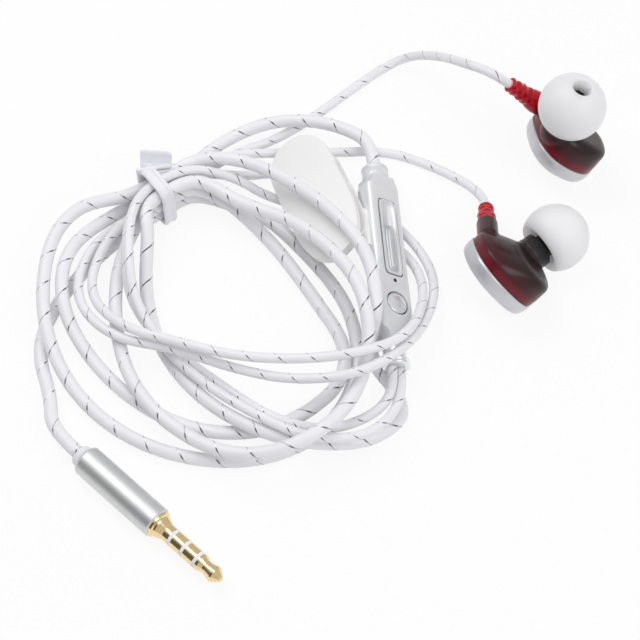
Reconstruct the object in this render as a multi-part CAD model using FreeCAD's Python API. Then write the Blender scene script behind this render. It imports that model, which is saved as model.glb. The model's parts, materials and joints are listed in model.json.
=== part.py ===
import FreeCAD, Part
import math
import os

# Wired earphones with an in-line remote, lying in a loose tied coil on a table.
# Millimetres. X to the right, Y away from the viewer, Z up. The table is the plane z = 0.

V = FreeCAD.Vector

# Fits
RUNNING_FIT = 0.05
SLIDING_GAP = 0.15
SEAT_GAP = 0.1

# Plug
PLUG_REAR = V(-70.2, -47.75, 3.2)
PLUG_HEADING = -42.9
PIN_R = 1.75
PIN_ROD_R = 0.5
PIN_TIP_L = 5.6
PIN_RING_L = 2.5
PIN_BAND_L = 0.7
PIN_SLEEVE_L = 1.35
BARREL_R = 3.1
BARREL_L = 19.7
BARREL_WALL = 0.6
BARREL_LIP = 1.0
FLANGE_R = 2.75
FLANGE_L = 2.6
FLANGE_SEAT = 2.0
COLLAR_R = 2.2
COLLAR_SHOWS = 1.5
COLLAR_HELD = 4.0

# Remote
REMOTE_MID = V(-11.5, -6.3, 5.9)
REMOTE_HEADING = 94.4
REMOTE_ROLL = 35.0
REMOTE_L = 38.4
REMOTE_W = 8.5
REMOTE_FLAT_W = 5.6
REMOTE_FRONT = 2.6
REMOTE_BACK = 3.1
REMOTE_WALL = 0.9
SHOULDER_L = 4.2
END_W = 5.2
END_HOLE_R = 1.5
TOP_COLLAR_R = 2.55
TOP_COLLAR_L = 3.0
LOW_COLLAR_R = 2.75
LOW_COLLAR_L = 5.2
WINDOW_L = 16.7
WINDOW_W = 3.3
WINDOW_Y = 4.2
WINDOW_RIM = 0.4
WINDOW_RIM_H = 0.2
KNOB_L = 11.0
KNOB_RISE = 0.35
KNOB_FLANGE_T = 0.4
KNOB_FLANGE_OUT = 0.6
KNOB_STEM_W = 1.2
KNOB_STEM_L = 3.0
POT_W = 2.2
POT_L = 13.0
POT_T = 0.5
TRACK_T = 0.4
TRACK_FOOT_W = 0.6
RIDGES = 5
RIDGE_PITCH = 1.1
RIDGE_CUT_W = 0.4
RIDGE_CUT_H = 0.2
BUTTON_R = 2.45
BUTTON_Y = -11.1
BUTTON_RISE = 0.2
BUTTON_TRAVEL = 0.4
BUTTON_FLANGE = 0.35
BUTTON_FLANGE_T = 0.4
BUTTON_STEM_R = 0.6
BUTTON_STEM_L = 0.3
SWITCH_W = 3.0
SWITCH_T = 0.35
SWITCH_STEM_R = 0.7
MIC_Y = -5.9
MIC_R = 1.0
MIC_HOLE_R = 0.35
BOARD_W = 5.8
BOARD_L = 27.0
BOARD_T = 0.6
BOARD_TOP = -0.3
BOARD_RIBS = 3
BOARD_RIB_T = 1.0

# Clip on the remote's left side
CLIP_L = 32.8
CLIP_W = 14.4
CLIP_TURN = 18.0
CLIP_TILT = 22.0
CLIP_ALONG = 14.6
CLIP_BEHIND = 7.9
CLIP_BASE_L = 25.0
CLIP_BASE_W = 9.0
CLIP_BASE_T = 1.0
CLIP_BASE_SHIFT = 2.4
CLIP_OUT = 0.6
CLIP_GAP = 2.4
CLIP_JAW_T = 1.2
CLIP_CROWN = 0.8
CLIP_PIN_R = 0.6
CLIP_LUG_R = 1.15
CLIP_LUG_T = 1.1
CLIP_FOOT_L = 8.4
CLIP_TOOTH = 0.3
CLIP_EDGE = 0.6
TEETH = 3
TOOTH_L = 1.0
TOOTH_W = 4.0
TOOTH_PITCH = 1.6
TOOTH_INSET = 2.5
SPRING_WIRE = 0.4
SPRING_REACH = 7.2

# Earbuds
BUD_W = 17.4
BUD_FAR = 8.7
BUD_NEAR = 6.4
CAP_T = 3.3
CAP_ROUND = 1.3
BUD_WALL = 0.8
SKIRT_H = 2.2
BODY_H = 6.0
BODY_LEFT = -8.0
BODY_RIGHT = 5.6
BODY_LOW = -3.5
BODY_HIGH = 8.1
BODY_ROUND = 1.9
NOZZLE_TILT = 28.0
NOZZLE_TURN = 36.0
NOZZLE_FOOT = V(2.15, 2.15, 0.0)
NECK_R = 3.45
NECK_END = 8.4
SPOUT_R = 2.4
SPOUT_BORE_R = 1.6
SPOUT_BORE_FROM = 3.5
TIP_CENTRE = 12.5
TIP_R = 6.8
TIP_WALL = 0.7
TIP_RIM = 4.05
TIP_MOUTH = 6.3
TIP_CORE_R = 3.1
TIP_CORE_DOWN = 2.6
TIP_BORE_R = 2.0
SPOUT_END = 2.6
MESH_T = 0.3
BOOT_FOOT = V(5.5, -5.9, 2.4)
BOOT_RISE = 5.9
BOOT_TURN = 3.6
PORT_R = 2.15
PORT_BACK = 3.2
PORT_END = 3.0
RELIEF_END = 9.2
RELIEF_ROOT_R = 1.95
RELIEF_TIP_R = 1.5
RELIEF_TAIL_R = 1.3
RELIEF_TAIL_L = 4.0
RELIEF_LIP = 0.3
NOTCH_ROWS = 3
NOTCH_SIDES = 4
NOTCH_W = 1.1
NOTCH_H = 0.9
NOTCH_PITCH = 1.6
NOTCH_FROM = 1.2
NOTCH_FLOOR_R = 1.15
DRIVER_R = 4.6
DRIVER_WALL = 0.45
DRIVER_LOW = 0.4
DRIVER_H = 3.0
DRIVER_MID = V(-1.3, 2.2, 0.0)
MAGNET_R = 3.0
MAGNET_H = 1.7
SEAL_T = 0.4
PLATE_T = 0.5
VENTS = 6
VENT_R = 0.35
VENT_OUT = 0.55
SKIN_T = 0.15
SKIN_DISH = 0.5
SKIN_RIM_W = 0.6

# Cord. The main cord carries both thin ones; heights along it are chosen strand by strand
MAIN_R = 1.35
MAIN_SIDES = 8
THIN_R = 0.975
THIN_SIDES = 6
TWIN_PITCH = 2.1
ARC_SHARE = 0.45

# Strap that ties the loose coil, wound round the bundle
TIE_MID = V(-57.1, 10.7, 1.25)
TIE_HEADING = 36.0
TIE_W = 4.2
TIE_T = 1.0
TIE_BACK = 1.0
TIE_LEFT = -4.6
TIE_RIGHT = 4.1
TIE_LOW = -0.1
TIE_HIGH = 9.75
TIE_ROUND = 1.5
TIE_SHOULDER = 4.0
TIE_STRAIGHT = 3.0
FOLD_L = 6.9
FOLD_SHIFT = 0.5
FOLD_TURN = 11.0
FOLD_LEAN = 30.0
FOLD_SINK = 0.3
TAB_L = 6.5
TAB_SHIFT = 0.65
TAB_TURN = -5.0
TAB_LEAN = 30.0
TAB_ROUND = 1.0

# Where each strand crosses the tie: to the left of its middle, and above its floor
COIL_SLOTS = [(-2.6, 1.35), (2.5, 4.5), (-2.95, 7.65), (-2.95, 4.5), (2.5, 1.35)]
LEFT_SLOTS = [(0.2, 6.45), (0.0, 0.975)]
RIGHT_SLOTS = [(-0.3, 8.5), (-0.1, 3.05)]

# The coil's four turns as places on the table: x, y, z, heading and climb
COIL_TURNS = [
    [(-45, 11, 1.5, -20, -4), (-33, 4.5, 1.6, -45, -2), (-17, -25, 1.5, -90, 0),
     (-23.5, -41.5, 1.4, -135, 0), (-41.5, -48.5, 1.4, -180, 0), (-69, -37.5, 2.7, -225, 4),
     (-79.5, -11, 5.3, -270, 4), (-74.5, 4.5, 6.9, -315, 1)],
    [(-45.5, 17.5, 7.8, -10, 10), (-27.5, 6.5, 12.1, -45, 14), (-13.5, -20, 13, -90, -22),
     (-14.5, -27, 5.4, -72, -55), (-8.5, -37.5, 1.4, -90, 0), (-11.5, -42, 1.6, -140, 5),
     (-24, -46, 4.2, -180, 7), (-47, -36, 3.6, -225, -9), (-59, -12.5, 2.3, -262, 12),
     (-59, -2.5, 6.8, -274, 30)],
    [(-39, 5, 9, -25, 3), (-28, -2, 11.8, -45, 16), (-15, -27, 13.1, -90, -26),
     (-22, -44, 9.8, -135, 5), (-35, -50, 8.1, -180, -18), (-55.5, -40, 4.8, -225, 0),
     (-65, -13.5, 5.1, -270, 8), (-62.5, 0.5, 5.2, -290, 8)],
    [(-47, 10.5, 5.2, -20, -8), (-37, 3, 3.2, -45, -8), (-25.5, -13, 2.3, -60, 4),
     (-19.5, -27.5, 3.7, -90, 3), (-23, -35.5, 3.3, -135, -6), (-41, -42.5, 1.4, -180, 0),
     (-65.5, -31, 2, -225, 5), (-76, -9.5, 5, -270, 3)],
]

# Loose stretches between the pieces, as the points that they bend round
PLUG_LEAD = 8.0
PLUG_ROUTE = [(-76.5, -35.5, 2), (-80.5, -23.5, 1.4), (-76.5, -12, 1.4), (-69.5, -2.5, 1.4)]
REMOTE_LEAD = 6.0
REMOTE_ROUTE = [(-46.5, 25, 1.5), (-36, 30, 3), (-26, 29.5, 4.5), (-17.5, 26, 5.3)]
LEFT_LEADS = [5.5, 5.5]
LEFT_OUT = [(-14.5, -41, 5.4), (-23, -43.5, 4.2), (-33, -41.5, 5), (-43, -33.5, 3.2),
            (-52.5, -26, 3.7), (-61.5, -17.5, 5.6), (-63.5, -5.5, 8.9)]
LEFT_ROUND = [(-41, 17, 1.5), (-32.5, 18.7, 1), (-17, 11.5, 1), (-6.5, 3.5, 1), (-1, -7, 1.6),
              (-2.5, -18.5, 5.6), (-8, -29, 10.7), (-17.5, -36.5, 13.9), (-30, -35.5, 9.9),
              (-41.5, -32, 8.5), (-52.5, -27.5, 8.1), (-65.5, -24.5, 7.1), (-73.5, -14.5, 5.7),
              (-70.8, -0.5, 3.5)]
LEFT_HOME = [(-43.5, 22, 2.1), (-33, 27, 1), (-23.5, 34.5, 1.1), (-17.5, 40, 1.1), (-11, 45.5, 1.1),
             (-5, 48, 2.6), (1, 40.5, 12), (5.5, 32, 20.2)]
RIGHT_LEADS = [7.5, 6.5]
RIGHT_OUT = [(-15.5, -46.5, 7.4), (-27, -46.5, 7.3), (-37.5, -41, 7.3), (-46.5, -34, 5.3),
             (-54.5, -26.5, 5.4), (-61, -17, 8.6), (-62.5, -6, 12.1)]
RIGHT_ROUND = [(-42, 14.5, 5.4), (-35, 12, 1), (-21, 8, 1), (-10.5, 2, 1), (-4, -6, 1.9),
               (-4, -18, 7.3), (-8.5, -28, 12.6), (-18, -32.5, 14.9), (-29.5, -32.5, 12.6),
               (-41.5, -31, 11.6), (-51.5, -27.5, 10.6), (-63, -23.5, 9.3), (-70.5, -14, 5.6),
               (-68.5, -2.5, 5.6)]
RIGHT_HOME = [(-44, 20.8, 4.2), (-33.5, 22.5, 2.4), (-22, 23.5, 1), (-10.5, 24, 1), (0, 19.5, 1.3)]
FIRST_PASS = 6.0
SECOND_PASS = 5.0

nodes = {}


def save(name, shape):
    shape.exportStep("parts/" + name + ".step")
    nodes[name] = shape


def unit(v):
    return V(v) * (1.0 / v.Length)


def radians_of(turn):
    return math.radians(turn)


def placed(origin, x_dir, z_dir):
    """A placement whose local x and z point along two square directions."""
    z = unit(z_dir)
    x = unit(x_dir - z * x_dir.dot(z))
    y = z.cross(x)
    turn = FreeCAD.Matrix(x.x, y.x, z.x, origin.x,
                          x.y, y.y, z.y, origin.y,
                          x.z, y.z, z.z, origin.z,
                          0, 0, 0, 1)
    return FreeCAD.Placement(turn)


def put(shape, place):
    out = shape.copy()
    out.Placement = place.multiply(out.Placement)
    return out


def rod(radius, start, end, middle=V(0, 0, 0)):
    return Part.makeCylinder(radius, end - start, middle + V(0, 0, start))


def tube(outer, inner, start, end, middle=V(0, 0, 0)):
    return rod(outer, start, end, middle).cut(rod(inner, start - 1, end + 1, middle))


def block(x0, x1, y0, y1, z0, z1):
    return Part.makeBox(x1 - x0, y1 - y0, z1 - z0, V(x0, y0, z0))


def pad(length, width, corner, y, z0, z1):
    """A plate along Y with rounded corners, centred on x = 0."""
    plate = block(-width / 2, width / 2, y - length / 2, y + length / 2, z0, z1)
    uprights = [e for e in plate.Edges if abs(e.BoundBox.ZLength - (z1 - z0)) < 1e-6]
    return plate.makeFillet(corner, uprights)


def spun(edges):
    """A solid of revolution about z from the edges of a closed profile."""
    face = Part.Face(Part.Wire(Part.__sortEdges__(edges)))
    return face.revolve(V(0, 0, 0), V(0, 0, 1), 360)


def turned(profile):
    """A solid of revolution about z from (radius, height) points."""
    points = [V(r, 0, h) for r, h in profile]
    return spun([straight(points[k - 1], points[k]) for k in range(len(points))])


def straight(start, end):
    return Part.LineSegment(start, end).toShape()


def arc_from(start, heading, end):
    """The edge that leaves start along heading and ends at end, an arc or a straight."""
    chord = end - start
    along = unit(chord)
    side = heading - along * heading.dot(along)
    if side.Length < 1e-6:
        return straight(start, end)
    half = math.atan2(side.Length, heading.dot(along))
    rise = unit(side) * (chord.Length / 2 * math.tan(half / 2))
    return Part.Arc(start, (start + end) * 0.5 + rise, end).toShape()


def biarc(p0, t0, p1, t1):
    """Two arcs that join p0 to p1 with the headings t0 and t1."""
    v = p1 - p0
    if t0.cross(t1).Length < 1e-9 and t0.cross(v).Length < 1e-9:
        return [straight(p0, p1)]
    a = 2 * (1 - t0.dot(t1))
    vs = v.dot(t0 + t1)
    if a < 1e-9:
        d = v.dot(v) / (2 * vs)
    else:
        d = (-vs + math.sqrt(vs * vs + a * v.dot(v))) / a
    q0 = p0 + t0 * d
    q1 = p1 - t1 * d
    mid = (q0 + q1) * 0.5
    return [arc_from(p0, t0, mid), arc_from(mid, unit(q1 - q0), p1)]


def track(stations):
    """Edges that run smoothly through stations of a point and a heading."""
    edges = []
    for (p0, t0), (p1, t1) in zip(stations, stations[1:]):
        edges += biarc(p0, t0, p1, t1)
    return edges


def oval(left, right, low, high, z, middle=None):
    """A closed oval of eight arcs between four sides."""
    cx, cy = middle or ((left + right) / 2, (low + high) / 2)
    stations = [(V(right, cy, z), V(0, 1, 0)), (V(cx, high, z), V(-1, 0, 0)),
                (V(left, cy, z), V(0, -1, 0)), (V(cx, low, z), V(1, 0, 0))]
    return Part.Wire(track(stations + stations[:1]))


def prism(wire, height):
    return Part.Face(wire).extrude(V(0, 0, height))


def rim_edges(shape, z):
    """The edges that lie wholly at one height."""
    return [e for e in shape.Edges if abs(e.BoundBox.ZMin - z) < 1e-3 and abs(e.BoundBox.ZMax - z) < 1e-3]


def make_plug():
    heading = radians_of(PLUG_HEADING)
    place = placed(PLUG_REAR, V(0, 0, 1), V(math.cos(heading), math.sin(heading), 0))
    barrel_0 = COLLAR_SHOWS
    barrel_1 = barrel_0 + BARREL_L
    lip_1 = barrel_0 + BARREL_LIP
    seat = barrel_1 - FLANGE_SEAT
    pin_0 = barrel_1 + FLANGE_L
    sleeve_1 = pin_0 + PIN_SLEEVE_L
    tip_0 = sleeve_1 + 3 * PIN_BAND_L + 2 * PIN_RING_L
    tip_1 = tip_0 + PIN_TIP_L
    bore_r = BARREL_R - BARREL_WALL
    core_r = bore_r - RUNNING_FIT

    barrel = rod(BARREL_R, barrel_0, barrel_1)
    barrel = barrel.makeFillet(BARREL_WALL * 1.5, rim_edges(barrel, barrel_0))
    barrel = barrel.makeChamfer(BARREL_WALL * 0.4, rim_edges(barrel, barrel_1))
    barrel = barrel.cut(rod(bore_r, lip_1, barrel_1 + 1))
    barrel = barrel.cut(rod(COLLAR_R + RUNNING_FIT, barrel_0 - 1, lip_1 + 1))
    save("plug_barrel", put(barrel, place))

    collar = turned([(0, 0), (COLLAR_R - 0.3, 0), (COLLAR_R, 0.3), (COLLAR_R, lip_1 + RUNNING_FIT),
                     (core_r, lip_1 + RUNNING_FIT), (core_r, barrel_0 + COLLAR_HELD),
                     (0, barrel_0 + COLLAR_HELD)])
    save("plug_collar", put(collar, place))

    # The contacts are nested: a rod with the tip, then sleeves with insulation between them
    layer = (PIN_R - PIN_ROD_R) / 6
    rod_back = barrel_0 + COLLAR_HELD + 3.0
    tip = turned([(0, rod_back), (PIN_ROD_R, rod_back), (PIN_ROD_R, tip_0), (PIN_R, tip_0),
                  (PIN_R, tip_0 + 0.6), (1.3, tip_0 + 1.5), (1.3, tip_0 + 2.0), (1.68, tip_0 + 3.6),
                  (1.68, tip_0 + 4.0), (0.65, tip_1 - 0.25), (0.3, tip_1), (0, tip_1)])
    save("plug_tip", put(tip, place))

    order = ["band", "plug_ring_front", "band", "plug_ring_rear", "band"]
    bands = []
    front = tip_0
    for number, name in enumerate(order):
        length = PIN_BAND_L if name == "band" else PIN_RING_L
        inner_r = PIN_ROD_R + number * layer + RUNNING_FIT
        outer_r = PIN_ROD_R + (number + 1) * layer
        skirt = tube(outer_r, inner_r, rod_back + (number + 1) * 1.2, front)
        piece = skirt.fuse(tube(PIN_R, inner_r, front - length, front)).removeSplitter()
        if name == "band":
            bands.append(piece)
        else:
            save(name, put(piece, place))
        front -= length
    save("plug_insulators", put(Part.makeCompound(bands), place))

    inner_r = PIN_ROD_R + len(order) * layer + RUNNING_FIT
    sleeve = turned([(inner_r, seat - 4), (PIN_R, seat - 4), (PIN_R, seat), (core_r, seat),
                     (core_r, barrel_1), (FLANGE_R, barrel_1), (FLANGE_R, barrel_1 + 0.5),
                     (2.3, barrel_1 + 0.7), (2.3, barrel_1 + 1.1), (PIN_R, pin_0),
                     (PIN_R, sleeve_1), (inner_r, sleeve_1)])
    save("plug_sleeve", put(sleeve, place))

    mould = rod(core_r, barrel_0 + COLLAR_HELD + SEAT_GAP, seat - SEAT_GAP)
    mould = mould.cut(rod(PIN_R + RUNNING_FIT, rod_back - RUNNING_FIT, barrel_1))
    save("plug_inner_mould", put(mould, place))


def remote_place():
    heading = radians_of(REMOTE_HEADING)
    roll = radians_of(REMOTE_ROLL)
    right = V(math.sin(heading), -math.cos(heading), 0)
    up = V(0, 0, 1)
    across = right * math.cos(roll) - up * math.sin(roll)
    face = right * math.sin(roll) + up * math.cos(roll)
    return placed(REMOTE_MID, across, face)


def pod(inset):
    """The remote's body, drawn in on every side by the inset."""
    w = REMOTE_W / 2 - inset
    e = END_W / 2 - inset
    h = REMOTE_L / 2 - inset
    s = h - SHOULDER_L
    front = REMOTE_FRONT - inset
    back = REMOTE_BACK - inset
    flat = REMOTE_FLAT_W / 2 - inset * 0.4
    down = V(0, -1, 0)

    right = track([(V(e, h, 0), down), (V(w, s, 0), down), (V(w, -s, 0), down), (V(e, -h, 0), down)])
    left = [edge.mirror(V(0, 0, 0), V(1, 0, 0)) for edge in right]
    ends = [straight(V(-e, y, 0), V(e, y, 0)) for y in (h, -h)]
    plan = Part.Wire(Part.__sortEdges__(right + left + ends))
    plan.translate(V(0, 0, -REMOTE_W))
    body = prism(plan, 2 * REMOTE_W)

    stations = [(V(flat, -h, front), V(1, 0, 0)), (V(w, -h, 0), V(0, 0, -1)), (V(0, -h, -back), V(-1, 0, 0)),
                (V(-w, -h, 0), V(0, 0, 1)), (V(-flat, -h, front), V(1, 0, 0))]
    section = Part.Wire(track(stations + stations[:1]))
    body = body.common(Part.Face(section).extrude(V(0, 2 * h, 0)))

    under = track([(V(-w, h, -e), down), (V(-w, s, -back), down), (V(-w, -s, -back), down), (V(-w, -h, -e), down)])
    rest = [straight(V(-w, -h, -e), V(-w, -h, front)), straight(V(-w, -h, front), V(-w, h, front)),
            straight(V(-w, h, front), V(-w, h, -e))]
    side = Part.Wire(Part.__sortEdges__(under + rest))
    return body.common(Part.Face(side).extrude(V(2 * w, 0, 0)))


def make_remote():
    place = remote_place()
    end_y = REMOTE_L / 2
    inner_top = REMOTE_FRONT - REMOTE_WALL
    rim_top = REMOTE_FRONT + WINDOW_RIM_H
    lid = block(-REMOTE_W, REMOTE_W, -REMOTE_L, REMOTE_L, 0, REMOTE_W)
    outer = pod(0)
    hollow = pod(REMOTE_WALL)
    across = FreeCAD.Placement(V(0, 0, 0), FreeCAD.Rotation(V(1, 0, 0), -90))
    end_holes = rod(END_HOLE_R + RUNNING_FIT, -REMOTE_L, REMOTE_L)
    end_holes.Placement = across
    button_hole_r = BUTTON_R + SLIDING_GAP

    walls = outer.cut(hollow).cut(end_holes)
    front = walls.common(lid)
    rim = pad(WINDOW_L + 2 * WINDOW_RIM, WINDOW_W + 2 * WINDOW_RIM, 1.1, WINDOW_Y, inner_top + 0.3, rim_top)
    front = front.fuse(rim)
    front = front.cut(pad(WINDOW_L, WINDOW_W, 0.6, WINDOW_Y, 0, REMOTE_W))
    front = front.cut(rod(button_hole_r, 0, REMOTE_W, V(0, BUTTON_Y, 0)))
    front = front.cut(rod(MIC_HOLE_R, 0, REMOTE_W, V(0, MIC_Y, 0))).removeSplitter()
    save("remote_front_shell", put(front, place))

    board_y0 = -BOARD_L / 2
    back = walls.cut(lid)
    for k in range(BOARD_RIBS):
        y = board_y0 + BOARD_L * (k + 0.5) / BOARD_RIBS
        rib = block(-REMOTE_W, REMOTE_W, y - BOARD_RIB_T / 2, y + BOARD_RIB_T / 2, -REMOTE_BACK, BOARD_TOP - BOARD_T)
        back = back.fuse(rib.common(outer))
    save("remote_back_shell", put(back.removeSplitter(), place))

    board = block(-BOARD_W / 2, BOARD_W / 2, board_y0, board_y0 + BOARD_L, BOARD_TOP - BOARD_T, BOARD_TOP)
    save("control_board", put(board, place))

    # The slider is carried by its flange between the shell and the track
    knob_w = WINDOW_W - 2 * SLIDING_GAP
    knob_y = WINDOW_Y - (WINDOW_L - KNOB_L) / 2 + SLIDING_GAP
    flange_1 = inner_top - SLIDING_GAP
    flange_0 = flange_1 - KNOB_FLANGE_T
    track_1 = flange_0 - SLIDING_GAP
    track_0 = track_1 - TRACK_T
    knob = pad(KNOB_L, knob_w, 0.5, knob_y, flange_0, rim_top + KNOB_RISE)
    knob = knob.makeFillet(0.25, rim_edges(knob, rim_top + KNOB_RISE))
    for k in range(RIDGES):
        y = knob_y + (k - (RIDGES - 1) / 2) * RIDGE_PITCH
        knob = knob.cut(block(-knob_w, knob_w, y - RIDGE_CUT_W / 2, y + RIDGE_CUT_W / 2,
                              rim_top + KNOB_RISE - RIDGE_CUT_H, REMOTE_W))
    flange = pad(KNOB_L + 2 * KNOB_FLANGE_OUT, knob_w + 2 * KNOB_FLANGE_OUT, 0.4, knob_y, flange_0, flange_1)
    stem_y0 = knob_y - KNOB_STEM_L / 2
    pot_1 = BOARD_TOP + POT_T
    stem = block(-KNOB_STEM_W / 2, KNOB_STEM_W / 2, stem_y0, stem_y0 + KNOB_STEM_L, pot_1 + SEAT_GAP, flange_0)
    save("volume_slider", put(knob.fuse(flange).fuse(stem).removeSplitter(), place))

    travel = WINDOW_L - KNOB_L - 2 * SLIDING_GAP
    rail = pad(WINDOW_L + 2 * WINDOW_RIM, WINDOW_W + 2 * WINDOW_RIM, 0.4, WINDOW_Y, track_0, track_1)
    slot_w = KNOB_STEM_W / 2 + SLIDING_GAP
    rail = rail.cut(block(-slot_w, slot_w, stem_y0 - SLIDING_GAP, stem_y0 + KNOB_STEM_L + travel + SLIDING_GAP,
                          track_0 - 1, track_1 + 1))
    for side in (-1, 1):
        foot_x = side * (WINDOW_W / 2 + WINDOW_RIM - SEAT_GAP - TRACK_FOOT_W / 2)
        foot = block(foot_x - TRACK_FOOT_W / 2, foot_x + TRACK_FOOT_W / 2,
                     WINDOW_Y - WINDOW_L / 2, WINDOW_Y + WINDOW_L / 2, BOARD_TOP, track_0)
        rail = rail.fuse(foot)
    save("slider_track", put(rail.removeSplitter(), place))

    pot = block(-POT_W / 2, POT_W / 2, WINDOW_Y - POT_L / 2, WINDOW_Y + POT_L / 2, BOARD_TOP, pot_1)
    save("slide_pot", put(pot, place))

    # The call button hangs by its flange under the shell
    bf_1 = inner_top - SLIDING_GAP
    bf_0 = bf_1 - BUTTON_FLANGE_T
    stem_0 = bf_0 - BUTTON_STEM_L
    button = rod(BUTTON_R, bf_0, REMOTE_FRONT + BUTTON_RISE, V(0, BUTTON_Y, 0))
    button = button.makeFillet(0.3, rim_edges(button, REMOTE_FRONT + BUTTON_RISE))
    button = button.fuse(rod(BUTTON_R + BUTTON_FLANGE, bf_0, bf_1, V(0, BUTTON_Y, 0)))
    button = button.fuse(rod(BUTTON_STEM_R, stem_0, bf_0, V(0, BUTTON_Y, 0))).removeSplitter()
    save("call_button", put(button, place))

    half = SWITCH_W / 2
    case_1 = BOARD_TOP + SWITCH_T
    switch = block(-half, half, BUTTON_Y - half, BUTTON_Y + half, BOARD_TOP, case_1)
    switch_top = stem_0 - BUTTON_TRAVEL - RUNNING_FIT
    switch = switch.fuse(rod(SWITCH_STEM_R, case_1, switch_top, V(0, BUTTON_Y, 0))).removeSplitter()
    save("tact_switch", put(switch, place))

    mic = rod(MIC_R, BOARD_TOP, inner_top - SEAT_GAP, V(0, MIC_Y, 0))
    mic = mic.cut(rod(MIC_R * 0.5, inner_top - SEAT_GAP - 0.2, inner_top, V(0, MIC_Y, 0)))
    save("microphone", put(mic, place))

    up = placed(V(0, end_y, 0), V(1, 0, 0), V(0, 1, 0))
    r = TOP_COLLAR_R
    top = turned([(0, -REMOTE_WALL), (END_HOLE_R, -REMOTE_WALL), (END_HOLE_R, 0), (r, 0), (r, TOP_COLLAR_L - 0.9),
                  (r - 0.25, TOP_COLLAR_L - 0.8), (r - 0.25, TOP_COLLAR_L - 0.6), (r, TOP_COLLAR_L - 0.5),
                  (r, TOP_COLLAR_L), (0, TOP_COLLAR_L)])
    save("remote_top_collar", put(put(top, up), place))
    down = placed(V(0, -end_y, 0), V(-1, 0, 0), V(0, -1, 0))
    r = LOW_COLLAR_R
    h = LOW_COLLAR_L
    low = turned([(0, -REMOTE_WALL), (END_HOLE_R, -REMOTE_WALL), (END_HOLE_R, 0), (END_W / 2 - SEAT_GAP, 0),
                  (r - 0.6, h - 1.5), (r - 0.6, h - 1.4), (r, h - 1.3), (r, h - 0.75), (r - 0.2, h - 0.65),
                  (r - 0.2, h - 0.5), (r, h - 0.4), (r, h), (0, h)])
    save("remote_bottom_collar", put(put(low, down), place))


def clip_place():
    """The clip's frame in the remote's: x to the jaw's end, z away from the remote."""
    tilt = radians_of(CLIP_TILT)
    turn = radians_of(CLIP_TURN)
    out = V(-math.cos(tilt), 0, math.sin(tilt))
    low = V(-math.sin(tilt), 0, -math.cos(tilt))
    along = V(0, 1, 0) * math.cos(turn) + low * math.sin(turn)
    return placed(V(-REMOTE_W / 2, CLIP_ALONG, 0) + low * CLIP_BEHIND + out * CLIP_OUT, along, out)


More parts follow.
